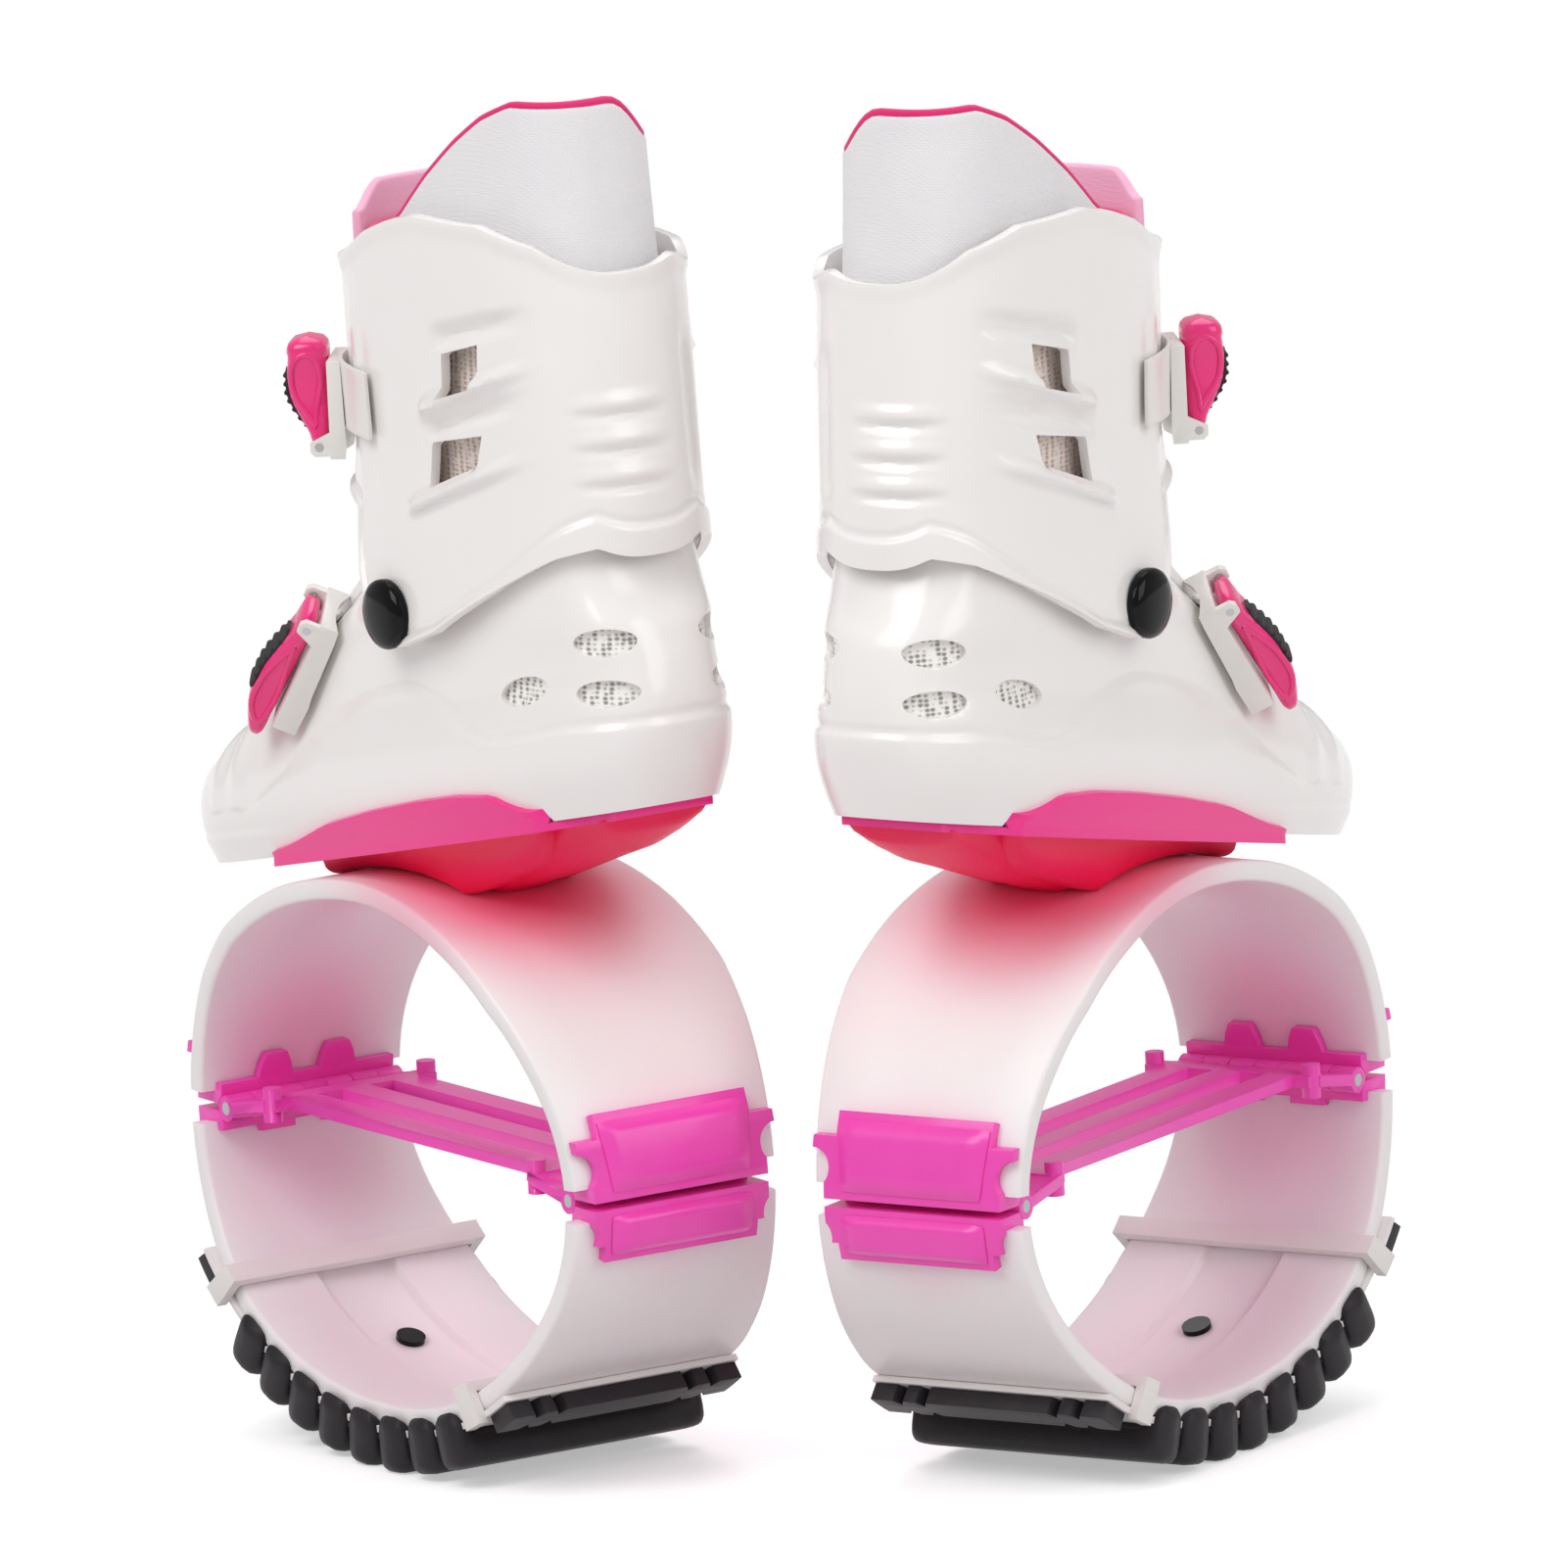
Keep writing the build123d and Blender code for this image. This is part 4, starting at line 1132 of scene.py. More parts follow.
    def strip(self, name: str, low: float, high: float, start: float, end: float, half: float) -> bpy.types.Object:
        """A strip that follows the bottom arch."""
        count = max(3, int(abs(end - start) / 1.5))
        angles = [start + (end - start) * i / count for i in range(count + 1)]
        outline = [ARCH.point(low, a, False) for a in angles]
        outline += [ARCH.point(high, a, False) for a in reversed(angles)]
        return prism(name, outline, -half, half)

    def bar(self, centre: float) -> bpy.types.Object:
        """An end bar, its long edges rounded and notched near both ends."""
        low = 2 * self.seat + self.carrier
        obj = self.strip("bar", low, low + self.bar_height, centre - self.bar_half_deg, centre + self.bar_half_deg,
                         self.bar_half_width)
        cutters = []
        sign = 1 if centre > 0 else -1
        top, bottom = centre + sign * 3.4, centre - sign * 3.4
        for y in (-39.0, -29.0, 29.0, 39.0):
            for edge, into in ((top, -sign), (bottom, sign)):
                root = edge + into * self.notch_deep_deg
                (xa, za), (xb, zb) = ARCH.point(-1.0, edge, False), ARCH.point(low + 9.0, edge, False)
                (xc, zc), (xd, zd) = ARCH.point(-1.0, root, False), ARCH.point(low + 9.0, root, False)
                wedge = self.notch_half
                verts = [(xa, y - wedge, za), (xa, y + wedge, za), (xc, y, zc),
                         (xb, y - wedge, zb), (xb, y + wedge, zb), (xd, y, zd)]
                faces = [(0, 1, 2), (3, 5, 4), (0, 3, 4, 1), (1, 4, 5, 2), (2, 5, 3, 0)]
                cutter = new_object("notch", verts, faces)
                outward(cutter)
                cutters.append(cutter)
        cut(obj, cutters)
        soften(obj, 1.6, 3)
        smooth(obj, 40)
        return obj

    def build(self) -> None:
        """Make and attach the tread and its carrier."""
        low = 2 * self.seat + self.carrier
        rear_end = -(self.rear_count - 0.5) * self.pitch_deg - self.end_deg
        front_end = (self.count - self.rear_count - 0.5) * self.pitch_deg + self.end_deg
        backing = self.strip("backing", low, low + self.rubber, rear_end, front_end, ARCH.half_width + self.seat)
        soften(backing, 0.6)
        parts = [self.lug_row(), backing, self.bar(self.front_bar_deg), self.bar(self.rear_bar_deg)]
        for part in parts[1:]:
            part.data.materials.append(self.paint.rubber)
        piece = join("rubber_tread", parts)
        self.fit.settle(piece, "tread", "ground", ["tread"])
        carrier = self.fit.copy_solid("tread_carrier", "tread_base", 0.9)
        carrier.data.materials.append(self.paint.base_white)
        self.fit.settle(carrier, "base_white", "ground", ["tread_base"])


# --------------------------------------------------------------------------------------
# Sole plate
# --------------------------------------------------------------------------------------


@dataclass
class SolePlate:
    """Pink plate with curved side flanges, on lobes that swell down to the arch's crown. The lobes take a darker,
    redder copy of the flanges' pink: painted shade under the plate.
    """

    fit: Fitter
    paint: Palette
    seat: float = 0.25
    wall: float = 3.2
    front_x: float = 60.0
    rear_x: float = -139.0
    flange: tuple[tuple[float, float], ...] = (
        (-150.0, 2.5), (-108.0, 4.5), (-99.0, 7.5), (-90.0, 12.5), (-70.0, 14.5), (-45.0, 14.5), (-13.0, 13.0),
        (19.0, 10.0), (48.0, 3.5), (62.0, 2.0))
    underside: tuple[tuple[float, float], ...] = (
        (-39.0, 25.4), (-70.0, 22.0), (-90.0, 19.2), (-112.0, 16.4), (-124.0, 12.6), (-131.0, 8.6), (-134.0, 3.4))
    cheek: tuple[tuple[float, float], ...] = (
        (-33.0, 25.0), (-58.0, 21.5), (-78.0, 18.5), (-90.0, 14.5), (-98.0, 8.5), (-101.0, 3.4))
    heel_taper: tuple[tuple[float, float], ...] = (
        (-98.0, 60.0), (-106.0, 44.0), (-126.0, 26.0), (-136.0, 22.0), (-200.0, 20.0), (-200.0, 90.0), (-98.0, 90.0))
    lobe_front: float = 52.0
    lobe_half: float = 24.0
    cheek_span: tuple[float, float] = (4.0, 32.0)

    def cup(self) -> bpy.types.Object:
        """The thin cup under the shell, its flanges swelling at the sides."""
        turns = even_turns(168)
        offset = self.seat + self.wall
        climb = 22
        points = np.zeros((climb + 5, len(turns), 3))
        for u, turn in enumerate(turns):
            rim = boot_point(0.0, turn, offset)
            centre = Vector((0.10 * FORM.boot_front, 0.0, 0.0))
            centre.z = FORM.sole(centre.x) - offset
            for v, share in enumerate((0.02, 0.5, 0.85, 0.97)):
                points[v, u] = centre.lerp(rim, share)
            high = reach_line(lambda p, t: boot_point(p, t, offset), turn,
                              lambda x: FORM.sole(x) + interpolate(self.flange, x), 0.001, 3.0)
            for v in range(climb + 1):
                points[v + 4, u] = rim if v == 0 else boot_point(max(high * v / climb, 0.001), turn, offset)
        obj = grid("sole_cup", points, close_u=True, cap_first=True)
        outward(obj)
        thicken(obj, self.wall)
        outward(obj)
        ends = [prism("end", [(x, 150.0), (x + step, 150.0), (x + step, 340.0), (x, 340.0)], -90.0, 90.0)
                for x, step in ((self.front_x, 160.0), (self.rear_x, -60.0))]
        for flank in (-1, 1):
            verts = [(x, flank * y, z) for z in (190.0, 330.0) for x, y in self.heel_taper]
            count = len(self.heel_taper)
            faces = [tuple(range(count)), tuple(range(count, 2 * count))]
            faces += [(i, (i + 1) % count, count + (i + 1) % count, count + i) for i in range(count)]
            wedge = new_object("wedge", verts, faces)
            outward(wedge)
            ends.append(wedge)
        cut(obj, ends)
        soften(obj, 0.8, 2, 50)
        smooth(obj, 42)
        obj.data.materials.append(self.paint.flange_pink)
        return obj

    def lobe(self, line: Sequence[tuple[float, float]], low: float, high: float) -> bpy.types.Object:
        """A lobe between the cup and the crown of the arch, its underside rounded up to its edges.

        Args:
            line: x, and drop under the sole, of its underside, from the front backwards.
            low: its lowest y.
            high: its highest y.

        Returns:
            The lobe.
        """
        front, rear, across = self.lobe_front, line[-1][0], 22
        drops = sorted(line)
        xs = list(np.linspace(front, line[0][0], 12)[:-1]) + list(np.linspace(line[0][0], rear, 34))
        points = np.zeros((len(xs), across + 2, 3))
        for v, x in enumerate(xs):
            top = FORM.sole(x) - self.wall
            floor = ARCH.hinge_z + ARCH.rise * math.sqrt(1 - (x / ARCH.half_length) ** 2) + 0.3
            drop = FORM.sole(x) - floor if x >= line[0][0] else interpolate(drops, x)
            for u in range(across):
                share = -1 + 2 * u / (across - 1)
                depth = self.wall + (drop - self.wall) * (1 - abs(share) ** 3.4) ** 0.55
                points[v, u] = (x, (low + high) / 2 + share * (high - low) / 2, min(FORM.sole(x) - depth, top - 0.1))
            points[v, across] = (x, high, top + 0.2)
            points[v, across + 1] = (x, low, top + 0.2)
        obj = grid("lobe", points, close_u=True, cap_first=True, cap_last=True)
        outward(obj)
        smooth(obj, 50)
        # The darker lobe pink is painted shade under the plate.
        obj.data.materials.append(self.paint.shaded_plate_pink)
        return obj

    def build(self) -> None:
        """Make and attach the plate."""
        lobes = [self.lobe(self.underside, -self.lobe_half, self.lobe_half)]
        lobes += [self.lobe(self.cheek, *sorted(flank * y for y in self.cheek_span)) for flank in (-1, 1)]
        plate = join("pink_sole_plate", [self.cup(), *lobes])
        self.fit.settle(plate, "pink", "boot", ["sole_plate"])


# --------------------------------------------------------------------------------------
# Boot shell and cuff
# --------------------------------------------------------------------------------------


@dataclass
class BootShell:
    """Hard lower shell with an open instep and heel vents."""

    fit: Fitter
    paint: Palette
    wall: float = 3.5
    columns: int = 176
    rows: int = 96
    top_shares: tuple[tuple[float, float], ...] = (
        (-1.20, 0.765), (-0.80, 0.765), (-0.30, 0.780), (0.02, 0.690), (0.24, 0.470), (0.50, 0.320), (0.56, 0.420),
        (1.20, 0.420))
    vent_shares: tuple[tuple[float, ...], ...] = (
        (-0.675, 0.78, 0.430, 14.0, 16.0, 0.26, 0.105),
        (-0.910, 0.52, 0.555, 40.0, 4.0, 0.25, 0.105),
        (-0.922, 0.52, 0.445, 40.0, 4.0, 0.26, 0.100))
    heel_line: tuple[tuple[float, float], ...] = (
        (-160.0, 303.0), (-130.0, 299.0), (-107.0, 293.0), (-90.0, 289.0), (-77.0, 291.0), (-60.0, 299.0),
        (-45.0, 303.0), (-31.0, 304.0), (-6.0, 297.0), (24.0, 279.0), (50.0, 258.0), (80.0, 238.0))

    def top(self, x: float) -> float:
        """Height of the shell's top edge at x."""
        line = [(a * FORM.boot_front, FORM.sole_z + b * FORM.rise) for a, b in self.top_shares]
        return interpolate(line, x)

    def relief(self, point: Vector) -> float:
        """Raised heel band and side panel, toe creases and the hollow round the vents."""
        x, _, z = point
        over = z - FORM.sole(x)
        line = interpolate(self.heel_line, x)
        raised = (1 - ease(z - line, -1.6, 1.6)) * (1 - ease(x, 60.0, 82.0))
        crease = hump(z - line, 2.4, 3.0) * (0.35 + 0.65 * ease(-x, 60.0, 100.0)) * (1 - ease(x, 60.0, 82.0))
        value = 1.0 * raised - 0.7 * crease
        value += 0.8 * (1 - ease(over, 9.0, 12.0)) * ease(x, 40.0, 80.0)
        if x > 30 and over > 20:
            value += 1.1 * (hump(x, 82.0 + 0.15 * over, 8.0) + hump(x, 101.0 + 0.15 * over, 8.0))
        value -= 1.0 * hump(x, -122.0, 44.0) * hump(z, 324.0, 17.0)
        return value

    def vent_cutters(self) -> list[bpy.types.Object]:
        """Oval plugs for the vents."""
        cutters = []
        for xs, ys, zs, facing, tilt, long, high in self.vent_shares:
            for flank in (-1, 1):
                turn = math.radians(facing)
                out = Vector((-math.sin(turn), flank * math.cos(turn), 0))
                along = Vector((-math.cos(turn), -flank * math.sin(turn), 0))
                up = out.cross(along)
                lean = math.radians(flank * tilt)
                a = along * math.cos(lean) + up * math.sin(lean)
                b = up * math.cos(lean) - along * math.sin(lean)
                origin = Vector((xs * FORM.boot_rear, flank * ys * FORM.boot_half_width, FORM.sole_z + zs * FORM.rise))
                rows = np.zeros((2, 36, 3))
                for v, depth in enumerate((-16.0, 16.0)):
                    for u in range(36):
                        t = 2 * math.pi * u / 36
                        rows[v, u] = (origin + out * depth + a * math.cos(t) * long * FORM.boot_half_width
                                      + b * math.sin(t) * high * FORM.boot_half_width)
                plug = grid("vent", rows, close_u=True, cap_first=True, cap_last=True)
                outward(plug)
                cutters.append(plug)
        return cutters

    def build(self) -> None:
        """Make and attach the shell."""
        turns = even_turns(self.columns)
        points = np.zeros((self.rows + 5, self.columns, 3))
        for u, turn in enumerate(turns):
            high = reach_line(boot_point, turn, self.top, *BOOT_SPAN)
            rim = boot_point(0.0, turn)
            centre = Vector((0.10 * FORM.boot_front, 0.0, 0.0))
            centre.z = FORM.sole(centre.x)
            for v, share in enumerate((0.02, 0.5, 0.85, 0.96)):
                points[v, u] = centre.lerp(rim, share)
            for v in range(self.rows + 1):
                place = high * (v / self.rows) ** 1.1
                point = boot_point(place, turn)
                side = boot_point(place, turn + 0.01) - boot_point(place, turn - 0.01)
                rise = boot_point(place + 0.03, turn) - boot_point(max(place - 0.03, 0.001), turn)
                normal = side.cross(rise).normalized()
                fade = ease(v, 0, 5) * (1 - ease(v, self.rows - 4, self.rows))
                points[v + 4, u] = point + normal * (self.relief(point) - 0.9) * fade
        obj = grid("boot_shell", points, close_u=True, cap_first=True)
        outward(obj)
        thicken(obj, self.wall)
        outward(obj)
        cut(obj, self.vent_cutters())
        soften(obj, 0.7, 2, 50)
        smooth(obj, 42)
        obj.data.materials.append(self.paint.shell)
        self.fit.settle(obj, "shell", "boot", ["shell"])


@dataclass
class Cuff:
    """Cuff round the leg, with ribs, side windows and a front slit."""

    fit: Fitter
    paint: Palette
    wall: float = 4.0
    inset: float = 1.4
    inner_drop: float = 17.0
    slit: tuple[float, float] = (-14.5, -9.5)
    columns: int = 200
    rows: int = 88
    low_shares: tuple[tuple[float, float], ...] = (
        (-1.30, 0.278), (-1.00, 0.282), (-0.96, 0.306), (-0.88, 0.290), (-0.77, 0.255), (-0.63, 0.212),
        (-0.46, 0.157), (-0.29, 0.122), (-0.20, 0.134), (-0.12, 0.176), (-0.085, 0.215), (-0.06, 0.260),
        (-0.045, 0.310), (0.40, 0.360))
    high_shares: tuple[tuple[float, float], ...] = (
        (-1.30, 0.692), (-1.00, 0.692), (-0.94, 0.702), (-0.895, 0.724), (-0.83, 0.752), (-0.69, 0.778),
        (-0.43, 0.778), (-0.31, 0.762), (-0.19, 0.737), (-0.09, 0.706), (-0.02, 0.690), (0.02, 0.675),
        (0.40, 0.665))
    window_shares: tuple[tuple[tuple[float, float], ...], ...] = (
        ((-0.515, 0.576), (-0.664, 0.600), (-0.655, 0.534), (-0.505, 0.508)),
        ((-0.445, 0.438), (-0.660, 0.463), (-0.636, 0.414), (-0.425, 0.369)))
    hollows: tuple[tuple[Point, Point], ...] = (
        ((-66.0, 441.0, 4.4), (-122.0, 456.0, 4.4)), ((-56.0, 405.0, 4.4), (-121.0, 425.0, 4.4)))
    fins: tuple[tuple[Point, Point], ...] = (
        ((-54.0, 412.0, 4.4), (-124.0, 439.0, 4.4)), ((-44.0, 373.0, 4.0), (-122.0, 404.0, 4.0)))

    def relief(self, point: Vector) -> float:
        """Double lower rim, flared top, rear ribs, and the hollows and fins round the windows."""
        x, y, z = point
        low, high = interpolate(FORM.leg_line(self.low_shares), x), interpolate(FORM.leg_line(self.high_shares), x)
        rim = 2.5 + 9.0 * ease(-x, 98.0, 140.0)
        value = 1.3 * (1 - ease(z - low, rim - 1.5, rim + 1.0)) - 0.6 * hump(z - low, rim + 1.8, 2.4)
        value += 1.3 * ease(z - high, -8.0, 0.0)
        for z_rib in (419.0, 405.5, 392.0):
            reach = hump(y, 9.0, 20.0) ** 0.5 * ease(-x, 112.0, 128.0)
            value += reach * (1.5 * hump(z, z_rib + 3.2, 4.4) - 1.9 * hump(z, z_rib - 1.6, 3.4))
        for lines, sign in ((self.hollows, -1.0), (self.fins, 1.0)):
            for (xa, za, deep), (xb, zb, _) in lines:
                along = (x - xa) / (xb - xa)
                if 0.0 < along < 1.0:
                    away = z - (za + (zb - za) * along)
                    wide = 6.5 if sign < 0 else 5.0
                    fade = ease(along, 0.0, 0.12) * (1 - ease(along, 0.60, 1.0))
                    value += sign * deep * hump(away, 0.0, wide) * fade
        groove = hump(y, -25.0, 5.0) * ease(-x, 108.0, 116.0)
        value -= 2.0 * groove * ease(z, 382.0, 396.0) * (1 - ease(z, 434.0, 450.0))
        value += 1.2 * hump(x, -8.0, 8.0) * ease(z, 370.0, 392.0) * (1 - ease(z, 440.0, 462.0))
        return value

    def build(self) -> None:
        """Make and attach the cuff, with its windows cut."""
        low, high = FORM.leg_line(self.low_shares), FORM.leg_line(self.high_shares)
        turns = even_turns(self.columns)

        def former(place: float, turn: float) -> Vector:
            """The leg form, drawn in to leave room for the relief."""
            return leg_point(place, turn, -self.inset, -self.inset)

        obj = form_sheet("leg_cuff", former, turns, self.rows, lambda x: interpolate(low, x),
                         lambda x: interpolate(high, x), LEG_SPAN, self.relief)
        outward(obj)
        thicken(obj, self.wall)
        for vert in obj.data.vertices:
            x, y, z = vert.co
            vert.co.z -= self.inner_drop * ease(-y, 18.0, 40.0) * ease(z, 425.0, 485.0) * (1 - ease(x, -40.0, -6.0))
        outward(obj)
        cutters = []
        for corners in self.window_shares:
            outline = FORM.leg_line(corners)
            for flank in (-1, 1):
                ends = sorted((flank * 20.0, flank * 70.0))
                cutters.append(prism("window", outline, *ends))
        cutters.append(prism("slit", [(0.0, 280.0), (60.0, 280.0), (60.0, 520.0), (0.0, 520.0)], *self.slit))
        cut(obj, cutters)
        soften(obj, 0.8, 2, 50)
        smooth(obj, 42)
        obj.data.materials.append(self.paint.shell)
        self.fit.settle(obj, "shell", "cuff", ["cuff"])

    def rivets(self) -> None:
        """The domed black caps over the pivots, and the white bosses between cuff and shell."""
        parts = []
        cap = ((0.0, 4.3), (4.0, 4.2), (8.0, 3.7), (11.0, 2.9), (12.8, 1.7), (13.4, 0.4), (13.3, -2.0),
               (4.0, -2.2), (4.0, -11.0), (0.0, -11.0))
        boss = ((0.0, -5.6), (9.0, -5.6), (10.0, -6.4), (11.5, -14.0), (0.0, -14.0))
        for flank in (-1, 1):
            for profile, finish in ((cap, self.paint.rivet), (boss, self.paint.shell)):
                rows = np.zeros((len(profile), 40, 3))
                for v, (radius, out) in enumerate(profile):
                    for u in range(40):
                        t = 2 * math.pi * u / 40
                        rows[v, u] = (FORM.rivet_x + max(radius, 0.05) * math.cos(t),
                                      flank * (FORM.rivet_seat + out),
                                      FORM.rivet_z + max(radius, 0.05) * math.sin(t))
                turned = grid("turned", rows, close_u=True, cap_first=True, cap_last=True)
                outward(turned)
                smooth(turned, 40)
                turned.data.materials.append(finish)
                parts.append(turned)
        self.fit.settle(join("pivot_caps", parts), "rivet", "boot", ["cuff_rivets"])


# --------------------------------------------------------------------------------------
# Soft inner boot
# --------------------------------------------------------------------------------------


@dataclass
class InnerBoot:
    """Padded liner: foot, leg with piped collar, tongue and foot bed."""

    fit: Fitter
    paint: Palette
    collar_shares: tuple[tuple[float, float], ...] = (
        (-1.30, 0.915), (-0.90, 0.932), (-0.82, 0.947), (-0.713, 0.950), (-0.629, 0.927), (-0.521, 0.884),
        (-0.385, 0.824), (-0.266, 0.764), (-0.14, 0.715), (0.40, 0.690))
    foot_inset: float = 4.2
    foot_wall: float = 5.5
    foot_top: float = 364.0
    leg_start: float = 369.6
    leg_wall: float = 6.0
    piping_radius: float = 1.7
    tongue_inset: float = 5.4
    tongue_wall: float = 3.8
    tongue_start: float = 366.5
    tongue_end: float = 486.6
    tongue_half_turn: float = 0.62

    def collar(self, x: float) -> float:
        """Height of the collar at x."""
        return interpolate(FORM.leg_line(self.collar_shares), x)

    def inner_dip(self, point: Vector) -> float:
        """How far the collar dips towards the inner side at the back."""
        return 19.0 * ease(-point.y, 4.0, 30.0) * ease(-point.x, 70.0, 104.0) * ease(point.z, 440.0, 530.0)

    def leg_former(self, offset: float) -> Former:
        """The liner's leg form, moved outwards by an offset."""
        def former(place: float, turn: float) -> Vector:
            """A point of the liner's leg."""
            return leg_point(place, turn, -11.5 + offset, -12.0 + offset)
        return former

    def build(self) -> None:
        """Make the soft pieces, and attach all of them but the liner's leg."""
        turns = even_turns(120)
        foot = form_sheet("liner_foot", lambda p, t: boot_point(p, t, -self.foot_inset), turns, 40,
                          lambda x: FORM.sole_z - 60.0, lambda x: self.foot_top, (0.05, BOOT_SPAN[1]))
        outward(foot)
        thicken(foot, self.foot_wall)
        smooth(foot, 50)
        foot.data.materials.append(self.paint.grey_mesh)
        self.fit.settle(foot, "liner", "boot", ["liner"])

        leg = form_sheet("liner_leg", self.leg_former(0.6), turns, 64, lambda x: self.leg_start, self.collar,
                         LEG_SPAN, lambda p: 0.9 * math.sin(p.z / 9.0) * hump(p.z, 430.0, 60.0))
        outward(leg)
        thicken(leg, self.leg_wall)
        for vert in leg.data.vertices:
            vert.co.z -= self.inner_dip(vert.co)
        soften(leg, 1.6, 3, 60)
        smooth(leg, 60)
        leg.data.materials.append(self.paint.liner)
        leg.data.materials.append(self.paint.tan_mesh)
        for face in leg.data.polygons:
            centre = face.center
            if centre.z < 462 and centre.x > -108:
                face.material_index = 1
        leg = self.fit.settle(leg, "liner", None, ["liner_shaft"])
        matrix = STANCE.matrix(self.fit.side)
        low, high = matrix @ Vector((-60, 0, 370)), matrix @ Vector((-60, 0, 440))
        self.fit.body("boot")
        self.fit.body("cuff")
        tuple(low)
        tuple(high)
        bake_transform(leg)

        rim = []
        former = self.leg_former(-1.4)
        for turn in turns:
            place = reach_line(former, turn, self.collar, *LEG_SPAN)
            point = former(place, turn)
            point.z -= self.inner_dip(point)
            rim.append(point)
        path = np.array(rim)
        path[:, 2] += 0.5
        piping = tube("collar_piping", path, self.piping_radius, 10, closed=True)
        smooth(piping, 60)
        piping.data.materials.append(self.paint.piping)
        self.fit.settle(piping, "liner", "cuff")

        flap_turns = [-self.tongue_half_turn + 2 * self.tongue_half_turn * i / 40 for i in range(41)]

        def tongue_former(place: float, turn: float) -> Vector:
            """A point of the tongue."""
            return leg_point(place, turn, -self.tongue_inset)

        def tongue_top(y: float) -> float:
            """Height of the tongue's rounded top across its width."""
            return self.tongue_end - 9.0 * ease(abs(y), 12.0, 27.0)

        rows = np.zeros((40, 41, 3))
        for u, turn in enumerate(flap_turns):
            start = reach_line(tongue_former, turn, lambda x: self.tongue_start, *LEG_SPAN)
            probe = tongue_former(5.0, turn)
            end = reach_line(tongue_former, turn, lambda x: tongue_top(probe.y), *LEG_SPAN)
            for v in range(40):
                rows[v, u] = tongue_former(start + (end - start) * v / 39, turn)
        flap = grid("tongue_flap", rows)
        thicken(flap, self.tongue_wall)
        outward(flap)
        soften(flap, 1.4, 3, 60)
        smooth(flap, 60)
        flap.data.materials.append(self.paint.tongue)
        self.fit.settle(flap, "liner", "cuff", ["tongue"])

        bed = self.fit.copy_solid("foot_bed", "insole", 1.2)
        bed.data.materials.append(self.paint.liner)
        self.fit.settle(bed, "liner", "boot", ["insole"])


# --------------------------------------------------------------------------------------
# Straps and buckles
# --------------------------------------------------------------------------------------


@dataclass(frozen=True)
class BucklePlan:
    """Where a buckle sits and how large its lever is."""

    origin: Point
    run: Point
    azimuth_deg: float
    length: float
    bulk: float
    pin_height: float = 7.0
    root: float = 3.5
    tip: float = 0.45
    tuck: float = 0.35

    def half(self, t: float) -> float:
        """Half width of the lever at a share of its length."""
        return 11.0 - 2.4 * ease(t, 0.1, 0.45) + 1.4 * ease(t, 0.6, 0.85)

    def top(self, t: float) -> float:
        """Height of the lever's outer face at a share of its length."""
        high = self.pin_height + self.root + (self.bulk - self.pin_height - self.root) * ease(t, 0.05, 0.55)
        return high - (self.bulk - self.pin_height) * self.tip * ease(t, 0.7, 1.0)

    def low(self, t: float) -> float:
        """Height of the lever's inner face at a share of its length."""
        return self.pin_height - self.root + (self.top(t) - self.pin_height) * self.tuck * ease(t, 0.5, 1.0)

    def axes(self) -> tuple[Vector, Vector, Vector, Vector]:
        """Origin and the directions along the lever, across it and outwards."""
        turn = math.radians(self.azimuth_deg)
        run = Vector(self.run).normalized()
        out = Vector((math.cos(turn), math.sin(turn), 0))
        out = (out - run * out.dot(run)).normalized()
        return Vector(self.origin), run, out.cross(run), out


